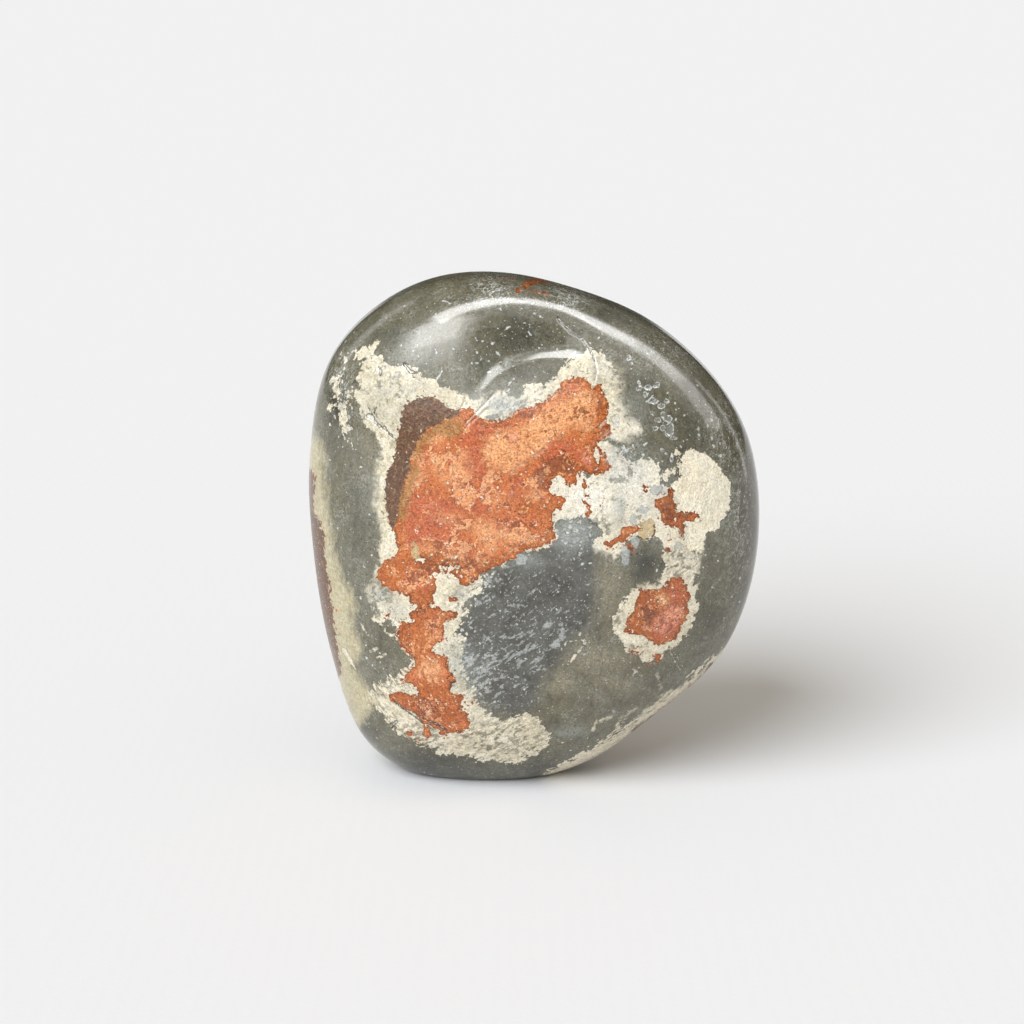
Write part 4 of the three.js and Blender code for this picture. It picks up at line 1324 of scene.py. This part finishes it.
def rust_coat(finish, colours, fields, surface):
    """The rust with its ochre seam and brown parts, the honey beside it, and where the rust is."""
    mix, attribute = finish.mix, finish.attribute
    ragged, crumbs = fields.ragged, fields.crumbs
    edge = attribute("rust") + 0.35 * ragged + 0.7 * fields.lobes + 0.25 * fields.flakes
    beads = dots(finish, fields.shaken, 0.85, 0.26, 0.4) * (edge < 0.7)
    holes = dots(finish, fields.shaken, 0.8, 0.26, 0.5 * attribute("cell_wash"))
    rust_mask = edge.inside(0.1).most(beads) * (1 - holes * (edge > -2.5))
    rust = rust_colour(finish, colours, fields, edge)
    ochre = (attribute("ochre") + 0.7 * ragged).inside(0.9) * (0.75 + 0.5 * crumbs)
    rust = mix(ochre, rust, colours.ochre)
    brown_mask = (attribute("brown") + 0.5 * ragged + 0.2 * crumbs).inside(0.4)
    rust = mix(brown_mask, rust, brown_colour(finish, colours, fields))
    surface = mix(rust_mask, surface, rust)
    honey = attribute("honey") + 0.5 * ragged + 0.4 * fields.blotchy + 0.2 * crumbs
    amber = mix(0.4 + 0.6 * fields.patchy + 0.4 * crumbs, colours.honey, colours.stain)
    surface = mix(honey.inside(0.25) * 0.85, surface, amber)
    return mix(honey.line(0.05) * 0.6, surface, colours.deep), rust_mask


def small_marks_coat(finish, colours, fields, surface):
    """Bubbles, hairs, chips and cracks."""
    mix, attribute = finish.mix, finish.attribute
    crumbs, flakes = fields.crumbs, fields.flakes
    bubble = attribute("bubble") + 0.25 * crumbs
    surface = mix((bubble + 0.1).inside(0.1) * 0.45, surface, colours.blue_grey)
    # A pale ring painted as the highlight on each pit's rim, and just outside it a thin ring of
    # painted shade.
    surface = mix(bubble.line(0.09) * (0.7 + flakes).clamped(), surface, colours.speck)
    surface = mix((bubble - 0.16).line(0.04) * 0.4, surface, colours.shadow)
    hair = hairs(finish, fields.slanted, 1.8, 0.06)
    hair = hair.most(hairs(finish, fields.upright, 1.5, 0.06))
    surface = mix(hair * attribute("hair_wash") * (1 + flakes), surface, colours.speck)
    chip = attribute("chip") + 0.3 * crumbs + 0.04
    surface = mix((chip - 0.1).line(0.05) * 0.4, surface, colours.shadow)
    surface = mix(chip.inside(0.12), surface, colours.speck)
    pale_crack = attribute("pale_crack") + 0.12 * crumbs
    surface = mix((pale_crack - 0.06).inside(0.1) * 0.5, surface, colours.deep)
    surface = mix(pale_crack.inside(0.1) * (0.8 + flakes), surface, colours.cream)
    dark_crack = attribute("dark_crack") + 0.15 * crumbs
    surface = mix((dark_crack - 0.07).inside(0.1) * 0.85, surface, colours.crack)
    return mix((dark_crack + 0.1).inside(0.08), surface, colours.speck)


def jasper_finish(colours, relief):
    """The stone's finish: grey-green body, slate, cream, rust, cracks and specks."""
    finish = Finish(STONE_SLOT)
    fields = Fields(finish)
    surface = body_colour(finish, colours, fields)
    surface = slate_coat(finish, colours, fields, surface)
    surface, cream_mask = cream_coat(finish, colours, fields, surface)
    surface = inclusions_coat(finish, colours, fields, surface)
    surface, rough_mask = rough_coat(finish, colours, fields, surface)
    surface, rust_mask = rust_coat(finish, colours, fields, surface)
    surface = small_marks_coat(finish, colours, fields, surface)
    grain, crumbs = fields.grain, fields.crumbs
    gritty = 0.34 - 0.14 * cream_mask + 0.18 * rust_mask
    surface = finish.scaled(surface, 0.94 + gritty * grain + 0.13 * crumbs)

    dull = rough_mask * 0.6 + cream_mask * 0.08 + rust_mask * 0.04 + 0.05 * crumbs
    creases = 0.1 * fields.blotchy + 0.03 * crumbs + 0.02 * grain
    height = rough_mask * creases + (rust_mask + cream_mask) * crumbs * 0.007
    bump = finish.node("ShaderNodeBump", None, {"Strength": 1.0, "Distance": MM, "Height": height})
    inputs = finish.shader.inputs
    finish.feed(inputs["Base Color"], surface)
    finish.feed(inputs["Roughness"], (dull + (1 - relief.gloss)).clamped())
    finish.feed(inputs["Normal"], Value(finish, bump.outputs[0]))
    inputs["IOR"].default_value = JASPER_IOR
    return finish.material


def paper_finish(stage):
    """The floor's finish: pale paper with fine ribs."""
    finish = Finish("ribbed_paper")
    level = finish.millimetres()
    waves = finish.node("ShaderNodeTexWave", {"bands_direction": "X"}, {
        "Vector": level, "Scale": 0.12, "Distortion": 1.2, "Detail": 2, "Detail Scale": 0.4,
    })
    ribs = Value(finish, waves.outputs["Fac"]) + 0.6 * finish.clouds(level, 0.9, 3)
    bump = finish.node("ShaderNodeBump", None, {"Strength": 0.02, "Distance": MM, "Height": ribs})
    finish.feed(finish.shader.inputs["Base Color"], stage.paper)
    finish.feed(finish.shader.inputs["Normal"], Value(finish, bump.outputs[0]))
    finish.shader.inputs["Roughness"].default_value = 0.85
    finish.shader.inputs["Specular IOR Level"].default_value = 0
    return finish.material


class JASPER_OT_add_stone(bpy.types.Operator):
    """Adds the polished stone with its markings, in place of the plain solid"""

    bl_idname = "jasper.add_stone"
    bl_label = "Add Stone"

    def execute(self, context):
        if STONE_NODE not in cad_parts:
            raise RuntimeError(f"the frame has no node named {STONE_NODE}")
        relief = context.scene.jasper_relief
        stone = smooth_copy(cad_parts[STONE_NODE])
        cut_fine(stone.data)
        carve(stone.data, relief)
        for name, values in marking_layers(Survey(stone.data)).items():
            store(stone.data, name, values)
        stone.data.materials.clear()
        stone.data.materials.append(jasper_finish(context.scene.jasper_colours, relief))
        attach(stone, BODY)
        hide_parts(STONE_NODE)
        return {"FINISHED"}


# The paper that the stone stands on reaches this far (metres).
PAPER_REACH = 40

# The key light, like a large window at the left front, throws the soft shadow. Its place only
# gives its direction, and its breadth is the angle that it fills.
KEY_FROM = (-0.56, -0.64, 0.7)
KEY_BREADTH = math.radians(46)
KEY_COLOUR = (0.96, 1, 1.07)
SURROUND_COLOUR = (1, 0.94, 0.84, 1)

# The strips and panels that show in the polish and leave the rest of the light as it is: name,
# where the middle of each end lies (metres), its width, and how bright it is.
STRIPS = [
    ("strip_left", (-0.2, -0.16, 0.48), (0.12, 0.02, 0.55), 0.1, 14),
    ("strip_middle", (0.12, 0.02, 0.55), (0.26, 0.01, 0.48), 0.12, 11),
    ("strip_right", (0.26, 0.01, 0.48), (0.42, -0.01, 0.38), 0.14, 6),
    ("strip_end", (0.42, -0.01, 0.38), (0.54, -0.04, 0.24), 0.18, 3),
    ("strip_soft", (-0.06, -0.08, 0.52), (0.5, -0.04, 0.34), 0.34, 1.2),
    ("window_wide", (-0.54, -0.36, 0.46), (0, -0.46, 0.46), 0.5, 2),
    ("window_middle", (-0.44, -0.34, 0.5), (-0.06, -0.4, 0.5), 0.36, 3),
    ("window_core", (-0.36, -0.28, 0.52), (-0.1, -0.32, 0.52), 0.24, 5),
    ("side", (0.52, 0.2, 0.02), (0.52, 0.2, 0.4), 0.06, 2),
    ("side_left", (-0.5, 0.12, 0.2), (-0.3, 0.3, 0.55), 0.12, 1.6),
]


def paper_sheet():
    sheet = bmesh.new()
    bmesh.ops.create_grid(sheet, x_segments=1, y_segments=1, size=PAPER_REACH)
    mesh = bpy.data.meshes.new("paper")
    sheet.to_mesh(mesh)
    sheet.free()
    paper = bpy.data.objects.new("paper", mesh)
    bpy.context.scene.collection.objects.link(paper)
    return paper


def aim(thing, place, target):
    thing.location = place
    thing.rotation_euler = (Vector(target) - Vector(place)).to_track_quat("-Z", "Y").to_euler()


def hang(name, start, end, width, brightness, target):
    """Hangs a glowing strip between two places, facing a target."""
    start, end = Vector(start), Vector(end)
    run = end - start
    middle = (start + end) / 2
    along = run.normalized()
    towards = middle - target
    towards = (towards - along * towards.dot(along)).normalized()
    light = bpy.data.lights.new(name, "AREA")
    light.shape = "RECTANGLE"
    light.size = run.length
    light.size_y = width
    light.energy = brightness * math.pi * run.length * width
    lamp = bpy.data.objects.new(name, light)
    bpy.context.scene.collection.objects.link(lamp)
    turn = Matrix((along, towards.cross(along), towards)).transposed()
    lamp.matrix_world = Matrix.Translation(middle) @ turn.to_4x4()
    lamp.visible_diffuse = False
    return lamp


class JASPER_OT_add_stage(bpy.types.Operator):
    """Adds the paper floor, the soft lights and the camera"""

    bl_idname = "jasper.add_stage"
    bl_label = "Add Stage"

    def execute(self, context):
        scene = context.scene
        stage = scene.jasper_stage
        paper = paper_sheet()
        paper.data.materials.append(paper_finish(stage))
        window = bpy.data.lights.new("key", "SUN")
        window.energy = stage.key_power
        window.angle = KEY_BREADTH
        window.color = KEY_COLOUR
        key = bpy.data.objects.new("key", window)
        scene.collection.objects.link(key)
        aim(key, KEY_FROM, (0, 0, 0))
        key.visible_glossy = False
        low, high = CAD_BOX
        middle = Vector((0, 0, (low[2] + high[2]) / 2))
        for name, start, end, width, brightness in STRIPS:
            hang(name, start, end, width, brightness, middle)
        scene.world = bpy.data.worlds.new("studio")
        scene.world.use_nodes = True
        background = scene.world.node_tree.nodes["Background"]
        background.inputs["Color"].default_value = SURROUND_COLOUR
        background.inputs["Strength"].default_value = stage.surround
        scene.world.cycles_visibility.glossy = False
        camera = bpy.data.objects.new("camera", bpy.data.cameras.new("camera"))
        scene.collection.objects.link(camera)
        camera.data.lens = stage.lens
        camera.data.clip_start = 0.01
        target = middle + Vector((VIEW_AIM[0] * MM, 0, VIEW_AIM[1] * MM / math.cos(VIEW_RISE)))
        forward = Vector((0, math.cos(VIEW_RISE), -math.sin(VIEW_RISE)))
        aim(camera, target - forward * VIEW_DISTANCE * MM, target)
        scene.camera = camera
        scene.view_settings.view_transform = "Standard"
        return {"FINISHED"}


class JASPER_PT_panel(bpy.types.Panel):
    """The stone's and the stage's settings"""

    bl_label = "Polished Jasper"
    bl_idname = "JASPER_PT_panel"
    bl_space_type = "VIEW_3D"
    bl_region_type = "UI"
    bl_category = "Jasper"

    def draw(self, context):
        scene = context.scene
        for settings in (scene.jasper_colours, scene.jasper_relief, scene.jasper_stage):
            box = self.layout.box()
            for name in settings.bl_rna.properties.keys():
                if name not in {"rna_type", "name"}:
                    box.prop(settings, name)
        self.layout.operator(JASPER_OT_add_stone.bl_idname)
        self.layout.operator(JASPER_OT_add_stage.bl_idname)


CLASSES = (
    JasperColours, JasperRelief, JasperStage, JASPER_OT_add_stone, JASPER_OT_add_stage,
    JASPER_PT_panel,
)


def register():
    for item in CLASSES:
        bpy.utils.register_class(item)
    bpy.types.Scene.jasper_colours = PointerProperty(type=JasperColours)
    bpy.types.Scene.jasper_relief = PointerProperty(type=JasperRelief)
    bpy.types.Scene.jasper_stage = PointerProperty(type=JasperStage)


def unregister():
    del bpy.types.Scene.jasper_colours
    del bpy.types.Scene.jasper_relief
    del bpy.types.Scene.jasper_stage
    for item in reversed(CLASSES):
        bpy.utils.unregister_class(item)


def main():
    register()
    bpy.ops.jasper.add_stone()
    bpy.ops.jasper.add_stage()


if __name__ == "__main__":
    main()
